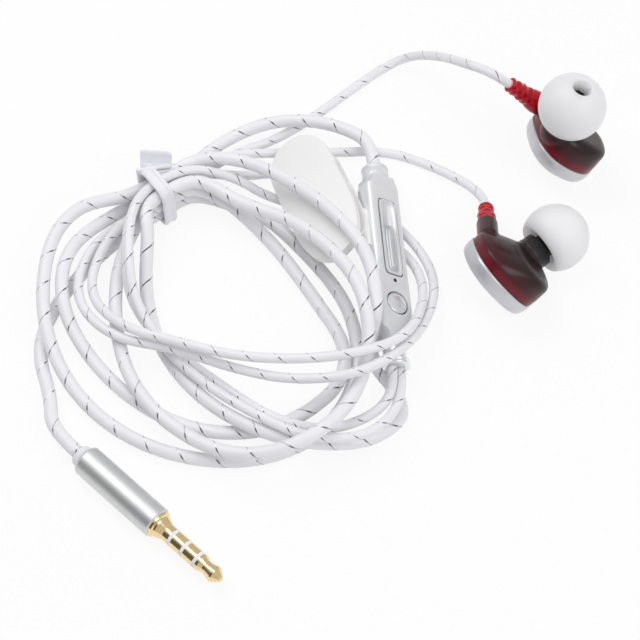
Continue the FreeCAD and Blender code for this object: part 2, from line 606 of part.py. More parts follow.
def make_clip():
    remote = remote_place()
    local = clip_place()
    place = remote.multiply(local)
    base_1 = CLIP_BASE_T
    jaw_0 = base_1 + CLIP_GAP
    jaw_1 = jaw_0 + CLIP_JAW_T
    pin_z = base_1 + CLIP_GAP / 2
    half_l = CLIP_L / 2
    half_w = CLIP_W / 2
    base_y = -CLIP_BASE_SHIFT
    pin_y0 = base_y - CLIP_BASE_W / 2 + CLIP_EDGE
    pin_y1 = base_y + CLIP_BASE_W / 2 - CLIP_EDGE
    inner_0 = pin_y0 + CLIP_LUG_T + SLIDING_GAP
    inner_1 = pin_y1 - CLIP_LUG_T - SLIDING_GAP
    along_y = FreeCAD.Placement(V(0, 0, pin_z), FreeCAD.Rotation(V(1, 0, 0), -90))

    def barrel(radius, y0, y1):
        return put(rod(radius, y0, y1), along_y)

    def lug(y0, y1, z0, z1):
        web = block(-CLIP_LUG_R, CLIP_LUG_R, y0, y1, z0, z1)
        return web.fuse(barrel(CLIP_LUG_R, y0, y1))

    wire = oval(-CLIP_BASE_L / 2, CLIP_BASE_L / 2, base_y - CLIP_BASE_W / 2, base_y + CLIP_BASE_W / 2, 0)
    base = prism(wire, CLIP_BASE_T)
    for y0 in (pin_y0, pin_y1 - CLIP_LUG_T):
        base = base.fuse(lug(y0, y0 + CLIP_LUG_T, base_1 / 2, pin_z))
    base = base.cut(barrel(CLIP_PIN_R + RUNNING_FIT, pin_y0 - 1, pin_y1 + 1))
    base = put(base, local)
    foot_y = CLIP_ALONG - CLIP_FOOT_L
    foot = block(-REMOTE_W / 2 - CLIP_OUT - 1.0, -REMOTE_W / 2 + 1.2, foot_y - CLIP_FOOT_L / 2,
                 foot_y + CLIP_FOOT_L / 2, -1.7, 1.3)
    far = put(block(-CLIP_L, CLIP_L, -CLIP_W, CLIP_W, base_1 / 2, CLIP_L), local)
    base = base.fuse(foot.cut(far).cut(pod(0))).removeSplitter()
    save("clip_base", put(base, remote))

    jaw = prism(oval(-half_l, half_l, -half_w, half_w, jaw_0, (-half_l * 0.25, 0)), CLIP_JAW_T + CLIP_CROWN)
    crown_r = (half_w * half_w + CLIP_CROWN * CLIP_CROWN) / (2 * CLIP_CROWN)
    crown = Part.makeCylinder(crown_r, CLIP_L, V(-half_l, 0, jaw_1 + CLIP_CROWN - crown_r), V(1, 0, 0))
    jaw = jaw.common(crown)
    for y0 in (inner_0, inner_1 - CLIP_LUG_T):
        jaw = jaw.fuse(lug(y0, y0 + CLIP_LUG_T, pin_z, jaw_0 + CLIP_JAW_T / 2))
    jaw = jaw.cut(barrel(CLIP_PIN_R + RUNNING_FIT, inner_0 - 1, inner_1 + 1))
    bite = CLIP_BASE_L / 2 - TOOTH_INSET
    for k in range(TEETH):
        x = bite - TOOTH_PITCH * k
        tooth = block(x - TOOTH_L / 2, x + TOOTH_L / 2, base_y - TOOTH_W / 2, base_y + TOOTH_W / 2,
                      base_1 + CLIP_TOOTH, jaw_0 + CLIP_JAW_T / 2)
        jaw = jaw.fuse(tooth)
    save("clip_jaw", put(jaw.removeSplitter(), place))

    save("clip_pin", put(barrel(CLIP_PIN_R, pin_y0, pin_y1), place))

    spring_r = CLIP_PIN_R + SLIDING_GAP
    coil_r = CLIP_GAP / 2 - SEAT_GAP
    spring_0 = inner_0 + CLIP_LUG_T + SLIDING_GAP
    spring_1 = inner_1 - CLIP_LUG_T - SLIDING_GAP
    spring = barrel(coil_r, spring_0, spring_1).cut(barrel(spring_r, spring_0 - 1, spring_1 + 1))
    wire = SPRING_WIRE
    leg_low = block(-SPRING_REACH, 0, spring_0, spring_0 + wire, base_1 + SEAT_GAP, base_1 + SEAT_GAP + wire)
    leg_high = block(-SPRING_REACH, 0, spring_1 - wire, spring_1, jaw_0 - SEAT_GAP - wire, jaw_0 - SEAT_GAP)
    hole = barrel(spring_r, spring_0 - 1, spring_1 + 1)
    spring = spring.fuse(leg_low.cut(hole)).fuse(leg_high.cut(hole)).removeSplitter()
    save("clip_spring", put(spring, place))


def nozzle_axis():
    tilt = radians_of(NOZZLE_TILT)
    turn = radians_of(NOZZLE_TURN)
    return V(math.sin(tilt) * math.cos(turn), math.sin(tilt) * math.sin(turn), math.cos(tilt))


def boot_axis():
    rise = radians_of(BOOT_RISE)
    turn = radians_of(BOOT_TURN)
    return V(math.cos(rise) * math.cos(turn), math.cos(rise) * math.sin(turn), math.sin(rise))


def bud_outline(inset, z):
    return oval(-BUD_FAR + inset, BUD_NEAR - inset, -BUD_W / 2 + inset, BUD_W / 2 - inset, z, (0, 0))


def ear_tip_shape():
    """The soft dome about the nozzle's axis, with its centre at z = 0."""
    rim_r = math.sqrt(TIP_R ** 2 - TIP_RIM ** 2)
    mouth_r = math.sqrt(TIP_R ** 2 - TIP_MOUTH ** 2)
    inside = TIP_R - TIP_WALL
    rim_in = math.sqrt(inside ** 2 - TIP_RIM ** 2)
    root_z = math.sqrt(inside ** 2 - TIP_CORE_R ** 2)
    core_in = SPOUT_R + RUNNING_FIT
    step = SPOUT_END + SEAT_GAP
    dome = Part.Arc(V(rim_r, 0, -TIP_RIM), V(TIP_R, 0, 0), V(mouth_r, 0, TIP_MOUTH)).toShape()
    under = Part.Arc(V(rim_in, 0, -TIP_RIM), V(inside, 0, 0), V(TIP_CORE_R, 0, root_z)).toShape()
    lip = Part.Arc(V(mouth_r, 0, TIP_MOUTH), V((mouth_r + TIP_BORE_R) / 2, 0, TIP_MOUTH + 0.15),
                   V(TIP_BORE_R, 0, TIP_MOUTH)).toShape()
    path = [V(TIP_BORE_R, 0, TIP_MOUTH), V(TIP_BORE_R, 0, step), V(core_in, 0, step),
            V(core_in, 0, -TIP_CORE_DOWN), V(TIP_CORE_R, 0, -TIP_CORE_DOWN), V(TIP_CORE_R, 0, root_z)]
    edges = [dome, lip] + [straight(p, q) for p, q in zip(path, path[1:])] + [under]
    edges.append(straight(V(rim_r, 0, -TIP_RIM), V(rim_in, 0, -TIP_RIM)))
    return spun(edges)


def make_bud(name, place, mirrored):
    def keep(part, shape):
        if mirrored:
            shape = shape.mirror(V(0, 0, 0), V(0, 1, 0))
        save(name + "_" + part, put(shape, place))

    nozzle = placed(NOZZLE_FOOT, V(0, 0, 1).cross(nozzle_axis()), nozzle_axis())
    boot = placed(BOOT_FOOT, V(0, 1, 0), boot_axis())
    spout_end = TIP_CENTRE + SPOUT_END

    cap = prism(bud_outline(0, -CAP_T), CAP_T - RUNNING_FIT)
    cap = cap.makeFillet(CAP_ROUND, rim_edges(cap, -CAP_T))
    cap = cap.cut(prism(bud_outline(BUD_WALL, BUD_WALL - CAP_T), CAP_T))
    keep("back_cap", cap)

    skirt = prism(bud_outline(0.15, 0), SKIRT_H)
    skirt = skirt.makeFillet(0.5, rim_edges(skirt, SKIRT_H))
    body = prism(oval(BODY_LEFT, BODY_RIGHT, BODY_LOW, BODY_HIGH, 0), BODY_H)
    body = body.makeFillet(BODY_ROUND, rim_edges(body, BODY_H))
    neck = put(rod(NECK_R, 0, NECK_END), nozzle)
    spout = put(rod(SPOUT_R, 0, spout_end), nozzle)
    port = put(rod(PORT_R, -PORT_BACK, PORT_END), boot)
    port = port.fuse(Part.makeSphere(PORT_R, boot.multVec(V(0, 0, -PORT_BACK))))
    shell = skirt.fuse(body).fuse(neck).fuse(spout).fuse(port)
    shell = shell.common(block(-BUD_W, BUD_W, -BUD_W, BUD_W, 0, 2 * BUD_W))
    seal_1 = DRIVER_LOW + DRIVER_H + SEAL_T
    shell = shell.cut(prism(bud_outline(BUD_WALL + 0.15, -1), SKIRT_H - BUD_WALL + 1))
    shell = shell.cut(rod(DRIVER_R + RUNNING_FIT, 0, seal_1, DRIVER_MID))
    shell = shell.cut(rod(DRIVER_R - BUD_WALL, 0, BODY_H - BUD_WALL, DRIVER_MID))
    shell = shell.cut(put(rod(SPOUT_BORE_R, SPOUT_BORE_FROM, spout_end + 1), nozzle))
    shell = shell.cut(put(rod(SPOUT_BORE_R + 0.4, spout_end - MESH_T - RUNNING_FIT, spout_end + 1), nozzle))
    tail_r = RELIEF_TAIL_R + RUNNING_FIT
    shell = shell.cut(put(rod(tail_r, PORT_END - RELIEF_TAIL_L - SEAT_GAP, PORT_END + 1), boot))
    keep("shell", shell.removeSplitter())

    keep("ear_tip", put(put(ear_tip_shape(), FreeCAD.Placement(V(0, 0, TIP_CENTRE), FreeCAD.Rotation())), nozzle))
    keep("nozzle_mesh", put(rod(SPOUT_BORE_R + 0.35, spout_end - MESH_T, spout_end), nozzle))

    relief = turned([(0, PORT_END - RELIEF_TAIL_L), (RELIEF_TAIL_R, PORT_END - RELIEF_TAIL_L),
                     (RELIEF_TAIL_R, PORT_END), (RELIEF_ROOT_R, PORT_END), (RELIEF_ROOT_R, PORT_END + 0.6),
                     (RELIEF_TIP_R, RELIEF_END - RELIEF_LIP), (RELIEF_TIP_R - RELIEF_LIP, RELIEF_END),
                     (0, RELIEF_END)])
    for row in range(NOTCH_ROWS):
        z = PORT_END + NOTCH_FROM + row * NOTCH_PITCH
        for k in range(NOTCH_SIDES):
            notch = block(NOTCH_FLOOR_R, 2 * RELIEF_ROOT_R, -NOTCH_W / 2, NOTCH_W / 2, z, z + NOTCH_H)
            notch.rotate(V(0, 0, 0), V(0, 0, 1), 360 / NOTCH_SIDES * (k + 0.5 * (row % 2)))
            relief = relief.cut(notch)
    keep("strain_relief", put(relief, boot))

    top = DRIVER_LOW + DRIVER_H
    plate_1 = DRIVER_LOW + PLATE_T
    frame = rod(DRIVER_R, DRIVER_LOW, top, DRIVER_MID)
    frame = frame.cut(rod(DRIVER_R - DRIVER_WALL, plate_1, top + 1, DRIVER_MID))
    for k in range(VENTS):
        turn = 2 * math.pi * k / VENTS
        hole = DRIVER_MID + V(math.cos(turn), math.sin(turn), 0) * (MAGNET_R + VENT_OUT)
        frame = frame.cut(rod(VENT_R, 0, plate_1 + 1, hole))
    keep("driver_frame", frame)
    keep("driver_magnet", rod(MAGNET_R, plate_1, plate_1 + MAGNET_H, DRIVER_MID))
    skin_r = DRIVER_R - DRIVER_WALL - RUNNING_FIT
    rim_r = skin_r - SKIN_RIM_W
    crown = top - SKIN_T
    dish = top - SKIN_DISH
    skin = turned([(0, crown), (MAGNET_R / 2, crown - SKIN_T), (rim_r, dish - SKIN_T), (skin_r, dish - SKIN_T),
                   (skin_r, dish), (rim_r, dish), (MAGNET_R / 2, crown), (0, top)])
    keep("driver_diaphragm", put(skin, FreeCAD.Placement(DRIVER_MID, FreeCAD.Rotation())))
    keep("driver_seal", tube(DRIVER_R, DRIVER_R - BUD_WALL, top, top + SEAL_T - RUNNING_FIT, DRIVER_MID))


def heading_of(turn, climb=0.0):
    """The direction at a compass turn and a climb, both in degrees."""
    flat = math.cos(radians_of(climb))
    return V(flat * math.cos(radians_of(turn)), flat * math.sin(radians_of(turn)), math.sin(radians_of(climb)))


def in_tie(slot, along=0.0):
    """The place of a strand inside the tie, some way along the bundle."""
    left, high = slot
    return TIE_MID + heading_of(TIE_HEADING + 90) * left + heading_of(TIE_HEADING) * along + V(0, 0, high)


def polygon(point, heading, radius, sides):
    place = placed(point, V(0, 0, 1), heading)
    turns = [2 * math.pi * (k + 0.5) / sides for k in range(sides)]
    ring = [place.multVec(V(radius * math.cos(t), radius * math.sin(t), 0)) for t in turns]
    return Part.makePolygon(ring + ring[:1])


def polygon_area(radius, sides):
    return sides / 2 * radius * radius * math.sin(2 * math.pi / sides)


def sweep(edges, heading, radius, sides):
    profile = polygon(edges[0].valueAt(edges[0].FirstParameter), heading, radius, sides)
    return Part.Wire(edges).makePipeShell([profile], True, False)


def bent(route):
    """Straight runs joined by tangent arcs, each as large as its two runs allow."""
    edges = []
    radii = []
    start = route[0]
    for before, corner, after in zip(route, route[1:], route[2:]):
        into = unit(corner - before)
        out = unit(after - corner)
        share = ARC_SHARE * min((corner - before).Length, (after - corner).Length)
        edges.append(straight(start, corner - into * share))
        start = corner + out * share
        edges.append(arc_from(corner - into * share, into, start))
        radii.append(share / math.tan(into.getAngle(out) / 2))
    edges.append(straight(start, route[-1]))
    return edges, radii


def make_cord(name, route, radius, sides):
    edges, radii = bent(route)
    tube_shape = sweep(edges, unit(route[1] - route[0]), radius, sides)
    length = sum(edge.Length for edge in edges)
    share = tube_shape.Volume / (polygon_area(radius, sides) * length)
    print(name, "length", round(length, 1), "radii", [round(r, 1) for r in radii], "volume share", round(share, 4))
    save(name, tube_shape)


def least_gap(edges, radius):
    """The least gap of a tube to itself, between points a millimetre apart along it."""
    points = []
    for edge in edges:
        count = max(2, int(math.ceil(edge.Length)) + 1)
        points += edge.discretize(Number=count)[:-1]
    skip = int(8 * radius)
    spans = [(points[i] - points[j]).Length for j in range(len(points)) for i in range(j + skip, len(points))]
    return min(spans) - 2 * radius


def make_coil():
    stations = [(in_tie(COIL_SLOTS[0]), heading_of(TIE_HEADING))]
    for out_slot, in_slot, turn in zip(COIL_SLOTS, COIL_SLOTS[1:], COIL_TURNS):
        stations.append((in_tie(out_slot, TIE_STRAIGHT), heading_of(TIE_HEADING)))
        stations += [(V(x, y, z), heading_of(facing, climb)) for x, y, z, facing, climb in turn]
        stations.append((in_tie(in_slot, -TIE_STRAIGHT), heading_of(TIE_HEADING)))
    stations.append((in_tie(COIL_SLOTS[-1]), heading_of(TIE_HEADING)))
    edges = track(stations)
    coil = sweep(edges, heading_of(TIE_HEADING), MAIN_R, MAIN_SIDES)
    length = sum(edge.Length for edge in edges)
    bends = [edge.Curve.Radius for edge in edges if hasattr(edge.Curve, "Radius")]
    share = coil.Volume / (polygon_area(MAIN_R, MAIN_SIDES) * length)
    print("coil length", round(length, 1), "least gap", round(least_gap(edges, MAIN_R), 2),
          "least radius", round(min(bends), 1), "volume share", round(share, 4))
    save("main_cord_coil", coil)


def loop_wire(grow, y):
    """The strap's outline round the bundle, grown outward, in the plane across it."""
    left = TIE_LEFT - grow
    right = TIE_RIGHT + grow
    low = TIE_LOW - grow
    high = TIE_HIGH + grow
    r = TIE_ROUND + grow
    s = TIE_SHOULDER + grow
    stations = [(V(left + r, low, y), V(1, 0, 0)), (V(right - r, low, y), V(1, 0, 0)),
                (V(right, low + r, y), V(0, 1, 0)), (V(right, high - s, y), V(0, 1, 0)),
                (V(right - s, high, y), V(-1, 0, 0)), (V(left + r, high, y), V(-1, 0, 0)),
                (V(left, high - r, y), V(0, -1, 0)), (V(left, low + r, y), V(0, -1, 0))]
    return Part.Wire(track(stations + stations[:1]))


def make_tie():
    ahead = heading_of(TIE_HEADING)
    bundle = placed(TIE_MID - ahead * (TIE_BACK + TIE_W / 2), heading_of(TIE_HEADING + 90), ahead)
    loop = prism(loop_wire(TIE_T, 0), TIE_W).cut(prism(loop_wire(0, -1), TIE_W + 2))
    loop = put(loop, bundle)
    # The strap's end folds twice over its shoulder and stands up as a rounded tab
    reach = TIE_SHOULDER * (1 - math.sqrt(0.5))
    corner = in_tie((TIE_RIGHT - reach, TIE_HIGH - reach)) + V(FOLD_SHIFT, 0, 0)
    folded = placed(corner, heading_of(FOLD_TURN), heading_of(FOLD_TURN + 90, FOLD_LEAN))
    fold = block(-FOLD_L / 2, FOLD_L / 2, -TIE_W / 2, TIE_W / 2, -FOLD_SINK, TIE_T - FOLD_SINK)
    fold = fold.makeFillet(TIE_T * 0.45, [e for e in fold.Edges if e.BoundBox.YLength > TIE_T])
    foot = folded.multVec(V(TAB_SHIFT, TIE_W / 2 - TIE_T, TIE_T / 2 - FOLD_SINK))
    raised = placed(foot, heading_of(TAB_TURN), heading_of(TAB_TURN + 270, TAB_LEAN))
    tab = pad(TIE_W, TAB_L, TAB_ROUND, TIE_W / 2, -TIE_T / 2, TIE_T / 2)
    save("cable_tie", loop.fuse(put(fold, folded)).fuse(put(tab, raised)).removeSplitter())


def make_cords(left_bud, right_bud):
    plug_axis = heading_of(PLUG_HEADING)
    entry = in_tie(COIL_SLOTS[0])
    remote = remote_place()
    up = remote.Rotation.multVec(V(0, 1, 0))
    boot = placed(BOOT_FOOT, V(0, 1, 0), boot_axis())
    top_end = remote.multVec(V(0, REMOTE_L / 2 + TOP_COLLAR_L, 0))

    def points(rows):
        return [V(*row) for row in rows]

    def relief_end(bud, mirrored, beyond):
        tip = boot.multVec(V(0, 0, RELIEF_END + beyond))
        if mirrored:
            tip.y = -tip.y
        return bud.multVec(tip)

    def thin_route(side, slots, leads, out, round_coil, home, bud, mirrored):
        start = remote.multVec(V(side * TWIN_PITCH / 2, -REMOTE_L / 2 - LOW_COLLAR_L, 0))
        route = [start, start - up * leads[0]] + points(out)
        route += [in_tie(slots[0], -FIRST_PASS), in_tie(slots[0], FIRST_PASS)] + points(round_coil)
        route += [in_tie(slots[1], -SECOND_PASS), in_tie(slots[1], SECOND_PASS)] + points(home)
        return route + [relief_end(bud, mirrored, leads[1]), relief_end(bud, mirrored, 0)]

    route = [PLUG_REAR, PLUG_REAR - plug_axis * PLUG_LEAD] + points(PLUG_ROUTE)
    route += [entry - heading_of(TIE_HEADING) * PLUG_LEAD, entry]
    make_cord("main_cord_plug_end", route, MAIN_R, MAIN_SIDES)

    leave = in_tie(COIL_SLOTS[-1])
    route = [leave, in_tie(COIL_SLOTS[-1], 2.5 * TIE_STRAIGHT)] + points(REMOTE_ROUTE)
    route += [top_end + up * REMOTE_LEAD, top_end]
    make_cord("main_cord_remote_end", route, MAIN_R, MAIN_SIDES)

    left = thin_route(-1, LEFT_SLOTS, LEFT_LEADS, LEFT_OUT, LEFT_ROUND, LEFT_HOME, left_bud, False)
    right = thin_route(1, RIGHT_SLOTS, RIGHT_LEADS, RIGHT_OUT, RIGHT_ROUND, RIGHT_HOME, right_bud, True)
    make_cord("left_cord", left, THIN_R, THIN_SIDES)
    make_cord("right_cord", right, THIN_R, THIN_SIDES)


os.makedirs("parts", exist_ok=True)
make_plug()
make_remote()
make_clip()
upper = placed(V(24.79, 21.5, 7.73), V(-0.814, 0.112, 0.570), V(0.576, 0.283, 0.767))
lower = placed(V(11.48, -9.85, 8.09), V(-0.08, 0.871, -0.485), V(0.744, 0.376, 0.553))
make_bud("left", upper, False)
make_bud("right", lower, True)
make_tie()
make_coil()
make_cords(upper, lower)

for name, shape in nodes.items():
    box = shape.BoundBox
    print(name, shape.isValid(), len(shape.Solids), round(shape.Volume, 2), "z", round(box.ZMin, 2), round(box.ZMax, 2))
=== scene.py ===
import json
import math
import bmesh
import bpy
from mathutils import Matrix, Vector

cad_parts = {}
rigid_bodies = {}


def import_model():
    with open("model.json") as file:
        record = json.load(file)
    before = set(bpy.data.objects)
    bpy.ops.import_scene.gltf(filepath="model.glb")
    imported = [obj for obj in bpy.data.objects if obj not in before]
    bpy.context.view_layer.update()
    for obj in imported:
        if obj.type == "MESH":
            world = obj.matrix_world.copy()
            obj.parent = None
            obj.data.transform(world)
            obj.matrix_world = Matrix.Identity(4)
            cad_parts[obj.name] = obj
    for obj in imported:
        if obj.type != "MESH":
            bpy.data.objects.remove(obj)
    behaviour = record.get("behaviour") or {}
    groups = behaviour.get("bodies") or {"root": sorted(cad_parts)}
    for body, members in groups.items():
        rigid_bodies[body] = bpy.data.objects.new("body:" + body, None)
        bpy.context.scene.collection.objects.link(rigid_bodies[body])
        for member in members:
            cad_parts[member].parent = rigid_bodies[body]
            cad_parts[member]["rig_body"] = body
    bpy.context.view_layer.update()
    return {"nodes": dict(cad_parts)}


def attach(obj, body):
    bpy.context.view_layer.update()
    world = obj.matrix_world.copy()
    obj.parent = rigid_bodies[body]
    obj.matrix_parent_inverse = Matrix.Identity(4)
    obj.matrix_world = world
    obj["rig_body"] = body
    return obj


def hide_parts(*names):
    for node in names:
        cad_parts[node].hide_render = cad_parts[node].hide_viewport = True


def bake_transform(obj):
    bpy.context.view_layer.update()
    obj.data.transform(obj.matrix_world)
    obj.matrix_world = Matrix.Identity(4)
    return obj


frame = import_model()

# Wired earphones with an in-line remote, in a loose tied coil on a pale table.
# Lengths are written in millimetres and turned into metres with MM.

MM = 0.001
V = Vector
nodes = frame["nodes"]


# ---- camera

LENS = 106.9
SENSOR = 36
CAMERA_AT = V((-24.4, -206.5, 329.1))
LOOKS_AT = V((-24.4, -16.5, 0))


def link(name, data):
    """A new object in the scene for a mesh, curve, lamp or camera."""
    thing = bpy.data.objects.new(name, data)
    bpy.context.collection.objects.link(thing)
    return thing


def aim(thing, place, target):
    """Stands a camera or lamp at a place, looking at the target."""
    thing.location = V(place) * MM
    way = V(target) * MM - thing.location
    thing.rotation_euler = way.to_track_quat("-Z", "Y").to_euler()


def place_camera():
    data = bpy.data.cameras.new("camera")
    data.lens = LENS
    data.sensor_width = SENSOR
    data.clip_start = 10 * MM
    camera = link("camera", data)
    aim(camera, CAMERA_AT, LOOKS_AT)
    bpy.context.scene.camera = camera


# ---- cords

MAIN_R = 1.35
THIN_R = 0.975
TWIN_PITCH = 2.1
CORD_ARC_STEP = 4.2
SMOOTH_STEPS = 10
FACE_CORNERS = ((0, 0), (0, 1), (1, 1), (1, 0))
MAIN_SIDES, MAIN_STEP = 20, 0.7
THIN_SIDES, THIN_STEP = 16, 0.6

TIE_MID = V((-57.1, 10.7, 1.25))
TIE_HEADING = 36.0
TIE_STRAIGHT = 3.0
TIE_LEAVE = 7.5
# Where a strand passes the tie: how far left of its middle line, and how high.
COIL_SLOTS = [(-2.6, 1.35), (2.5, 4.5), (-2.95, 7.65), (-2.95, 4.5), (2.5, 1.35)]
LEFT_SLOTS = [(0.2, 6.45), (0.0, 0.975)]
RIGHT_SLOTS = [(-0.3, 8.5), (-0.1, 3.05)]

# Routes are rows of x, y and z. A row of the coil also has its heading and climb.
COIL_TURNS = [
    [(-45, 11, 1.5, -20, -4), (-33, 4.5, 1.6, -45, -2), (-17, -25, 1.5, -90, 0),
     (-23.5, -41.5, 1.4, -135, 0), (-41.5, -48.5, 1.4, -180, 0), (-69, -37.5, 2.7, -225, 4),
     (-79.5, -11, 5.3, -270, 4), (-74.5, 4.5, 6.9, -315, 1)],
    [(-45.5, 17.5, 7.8, -10, 10), (-27.5, 6.5, 12.1, -45, 14), (-13.5, -20, 13, -90, -22),
     (-14.5, -27, 5.4, -72, -55), (-8.5, -37.5, 1.4, -90, 0), (-11.5, -42, 1.6, -140, 5),
     (-24, -46, 4.2, -180, 7), (-47, -36, 3.6, -225, -9), (-59, -12.5, 2.3, -262, 12),
     (-59, -2.5, 6.8, -274, 30)],
    [(-39, 5, 9, -25, 3), (-28, -2, 11.8, -45, 16), (-15, -27, 13.1, -90, -26),
     (-22, -44, 9.8, -135, 5), (-35, -50, 8.1, -180, -18), (-55.5, -40, 4.8, -225, 0),
     (-65, -13.5, 5.1, -270, 8), (-62.5, 0.5, 5.2, -290, 8)],
    [(-47, 10.5, 5.2, -20, -8), (-37, 3, 3.2, -45, -8), (-25.5, -13, 2.3, -60, 4),
     (-19.5, -27.5, 3.7, -90, 3), (-23, -35.5, 3.3, -135, -6), (-41, -42.5, 1.4, -180, 0),
     (-65.5, -31, 2, -225, 5), (-76, -9.5, 5, -270, 3)],
]

PLUG_REAR = V((-70.2, -47.75, 3.2))
PLUG_HEADING = -42.9
PLUG_LEAD = 8.0
PLUG_ROUTE = [(-76.5, -35.5, 2), (-80.5, -23.5, 1.4), (-76.5, -12, 1.4), (-69.5, -2.5, 1.4)]

REMOTE_MID = V((-11.5, -6.3, 5.9))
REMOTE_HEADING = 94.4
REMOTE_ROLL = 35.0
REMOTE_TOP = 22.2
REMOTE_FOOT = 24.4
REMOTE_LEAD = 6.0
REMOTE_ROUTE = [(-46.5, 25, 1.5), (-36, 30, 3), (-26, 29.5, 4.5), (-17.5, 26, 5.3)]

LEFT_LEAD = 5.5
LEFT_OUT = [(-14.5, -41, 5.4), (-23, -43.5, 4.2), (-33, -41.5, 5), (-43, -33.5, 3.2),
            (-52.5, -26, 3.7), (-61.5, -17.5, 5.6), (-63.5, -5.5, 8.9)]
LEFT_ROUND = [(-41, 17, 1.5), (-32.5, 18.7, 1), (-17, 11.5, 1), (-6.5, 3.5, 1), (-1, -7, 1.6),
              (-2.5, -18.5, 5.6), (-8, -29, 10.7), (-17.5, -36.5, 13.9), (-30, -35.5, 9.9),
              (-41.5, -32, 8.5), (-52.5, -27.5, 8.1), (-65.5, -24.5, 7.1), (-73.5, -14.5, 5.7),
              (-70.8, -0.5, 3.5)]
LEFT_HOME = [(-43.5, 22, 2.1), (-33, 27, 1), (-23.5, 34.5, 1.1), (-17.5, 40, 1.1),
             (-11, 45.5, 1.1), (-5, 48, 2.6), (1, 40.5, 12), (5.5, 32, 20.2),
             (10.31, 29.61, 20.72), (14.4, 29.16, 17.07)]
RIGHT_LEAD = 7.5
RIGHT_OUT = [(-15.5, -46.5, 7.4), (-27, -46.5, 7.3), (-37.5, -41, 7.3), (-46.5, -34, 5.3),
             (-54.5, -26.5, 5.4), (-61, -17, 8.6), (-62.5, -6, 12.1)]
RIGHT_ROUND = [(-42, 14.5, 5.4), (-35, 12, 1), (-21, 8, 1), (-10.5, 2, 1), (-4, -6, 1.9),
               (-4, -18, 7.3), (-8.5, -28, 12.6), (-18, -32.5, 14.9), (-29.5, -32.5, 12.6),
               (-41.5, -31, 11.6), (-51.5, -27.5, 10.6), (-63, -23.5, 9.3), (-70.5, -14, 5.6),
               (-68.5, -2.5, 5.6)]
RIGHT_HOME = [(-44, 20.8, 4.2), (-33.5, 22.5, 2.4), (-22, 23.5, 1), (-10.5, 24, 1),
              (0, 19.5, 1.3), (9.52, 11.58, 3.41), (9.27, 5.84, 6.45)]
FIRST_PASS = 6.0
SECOND_PASS = 5.0


def heading_of(turn, climb=0.0):
    """The direction at a compass turn and a climb, both in degrees."""
    turn = math.radians(turn)
    climb = math.radians(climb)
    level = math.cos(climb)
    return V((level * math.cos(turn), level * math.sin(turn), math.sin(climb)))


def in_tie(slot, along=0.0):
    """The place of a strand inside the tie, some way along the bundle."""
    left, high = slot
    across = heading_of(TIE_HEADING + 90) * left
    return TIE_MID + across + heading_of(TIE_HEADING) * along + V((0, 0, high))


def loop_points(p0, t0, p1, t1):
    """Points of a loop of cord from one place and heading to the next: two arcs that meet."""
    v = p1 - p0
    if t0.cross(t1).length < 1e-9 and t0.cross(v).length < 1e-9:
        return [p1]
    a = 2 * (1 - t0.dot(t1))
    vs = v.dot(t0 + t1)
    d = v.dot(v) / (2 * vs) if a < 1e-9 else (-vs + math.sqrt(vs * vs + a * v.dot(v))) / a
    q0 = p0 + t0 * d
    q1 = p1 - t1 * d
    middle = (q0 + q1) / 2
    points = []
    for start, heading, end in ((p0, t0, middle), (middle, (q1 - q0).normalized(), p1)):
        chord = end - start
        ahead = chord.normalized()
        side = heading - ahead * heading.dot(ahead)
        half = math.atan2(side.length, heading.dot(ahead))
        if half < 1e-5:
            points.append(end)
            continue
        radius = chord.length / 2 / math.sin(half)
        inward = (ahead * math.sin(half) - side.normalized() * math.cos(half)).normalized()
        steps = max(2, round(2 * half * radius / CORD_ARC_STEP))
        for k in range(1, steps + 1):
            swing = 2 * half * k / steps
            points.append(start + heading * radius * math.sin(swing)
                          + inward * radius * (1 - math.cos(swing)))
    return points


def coil_points():
    """The four loose turns, from the tie and back into it each time."""
    along = heading_of(TIE_HEADING)
    stations = [(in_tie(COIL_SLOTS[0]), along)]
    for out_slot, in_slot, turn in zip(COIL_SLOTS, COIL_SLOTS[1:], COIL_TURNS):
        stations.append((in_tie(out_slot, TIE_STRAIGHT), along))
        stations += [(V((x, y, z)), heading_of(facing, climb))
                     for x, y, z, facing, climb in turn]
        stations.append((in_tie(in_slot, -TIE_STRAIGHT), along))
    stations.append((in_tie(COIL_SLOTS[-1]), along))
    points = [stations[0][0]]
    for (p0, t0), (p1, t1) in zip(stations, stations[1:]):
        points += loop_points(p0, t0, p1, t1)
    return points


def smooth_line(name, points):
    """The points that a cord follows, read from the smooth spline of its route."""
    data = bpy.data.curves.new(name, "CURVE")
    data.dimensions = "3D"
    data.resolution_u = SMOOTH_STEPS
    spline = data.splines.new("NURBS")
    spline.points.add(len(points) - 1)
    for knot, p in zip(spline.points, points):
        knot.co = (p[0] * MM, p[1] * MM, p[2] * MM, 1)
    spline.order_u = 3
    spline.use_endpoint_u = True
    guide = link(name, data)
    bpy.context.view_layer.update()
    mesh = bpy.data.meshes.new_from_object(guide)
    line = [v.co.copy() for v in mesh.vertices]
    bpy.data.meshes.remove(mesh)
    bpy.data.objects.remove(guide)
    return line


def even(line, step):
    """The line's points again, evenly spaced."""
    total = sum((b - a).length for a, b in zip(line, line[1:]))
    count = max(2, round(total / step))
    spacing = total / count
    out = [line[0]]
    gone = 0.0
    for a, b in zip(line, line[1:]):
        length = (b - a).length
        while length and gone + length >= spacing * len(out) - 1e-12 and len(out) < count:
            out.append(a.lerp(b, (spacing * len(out) - gone) / length))
        gone += length
    return out + [line[-1]], total


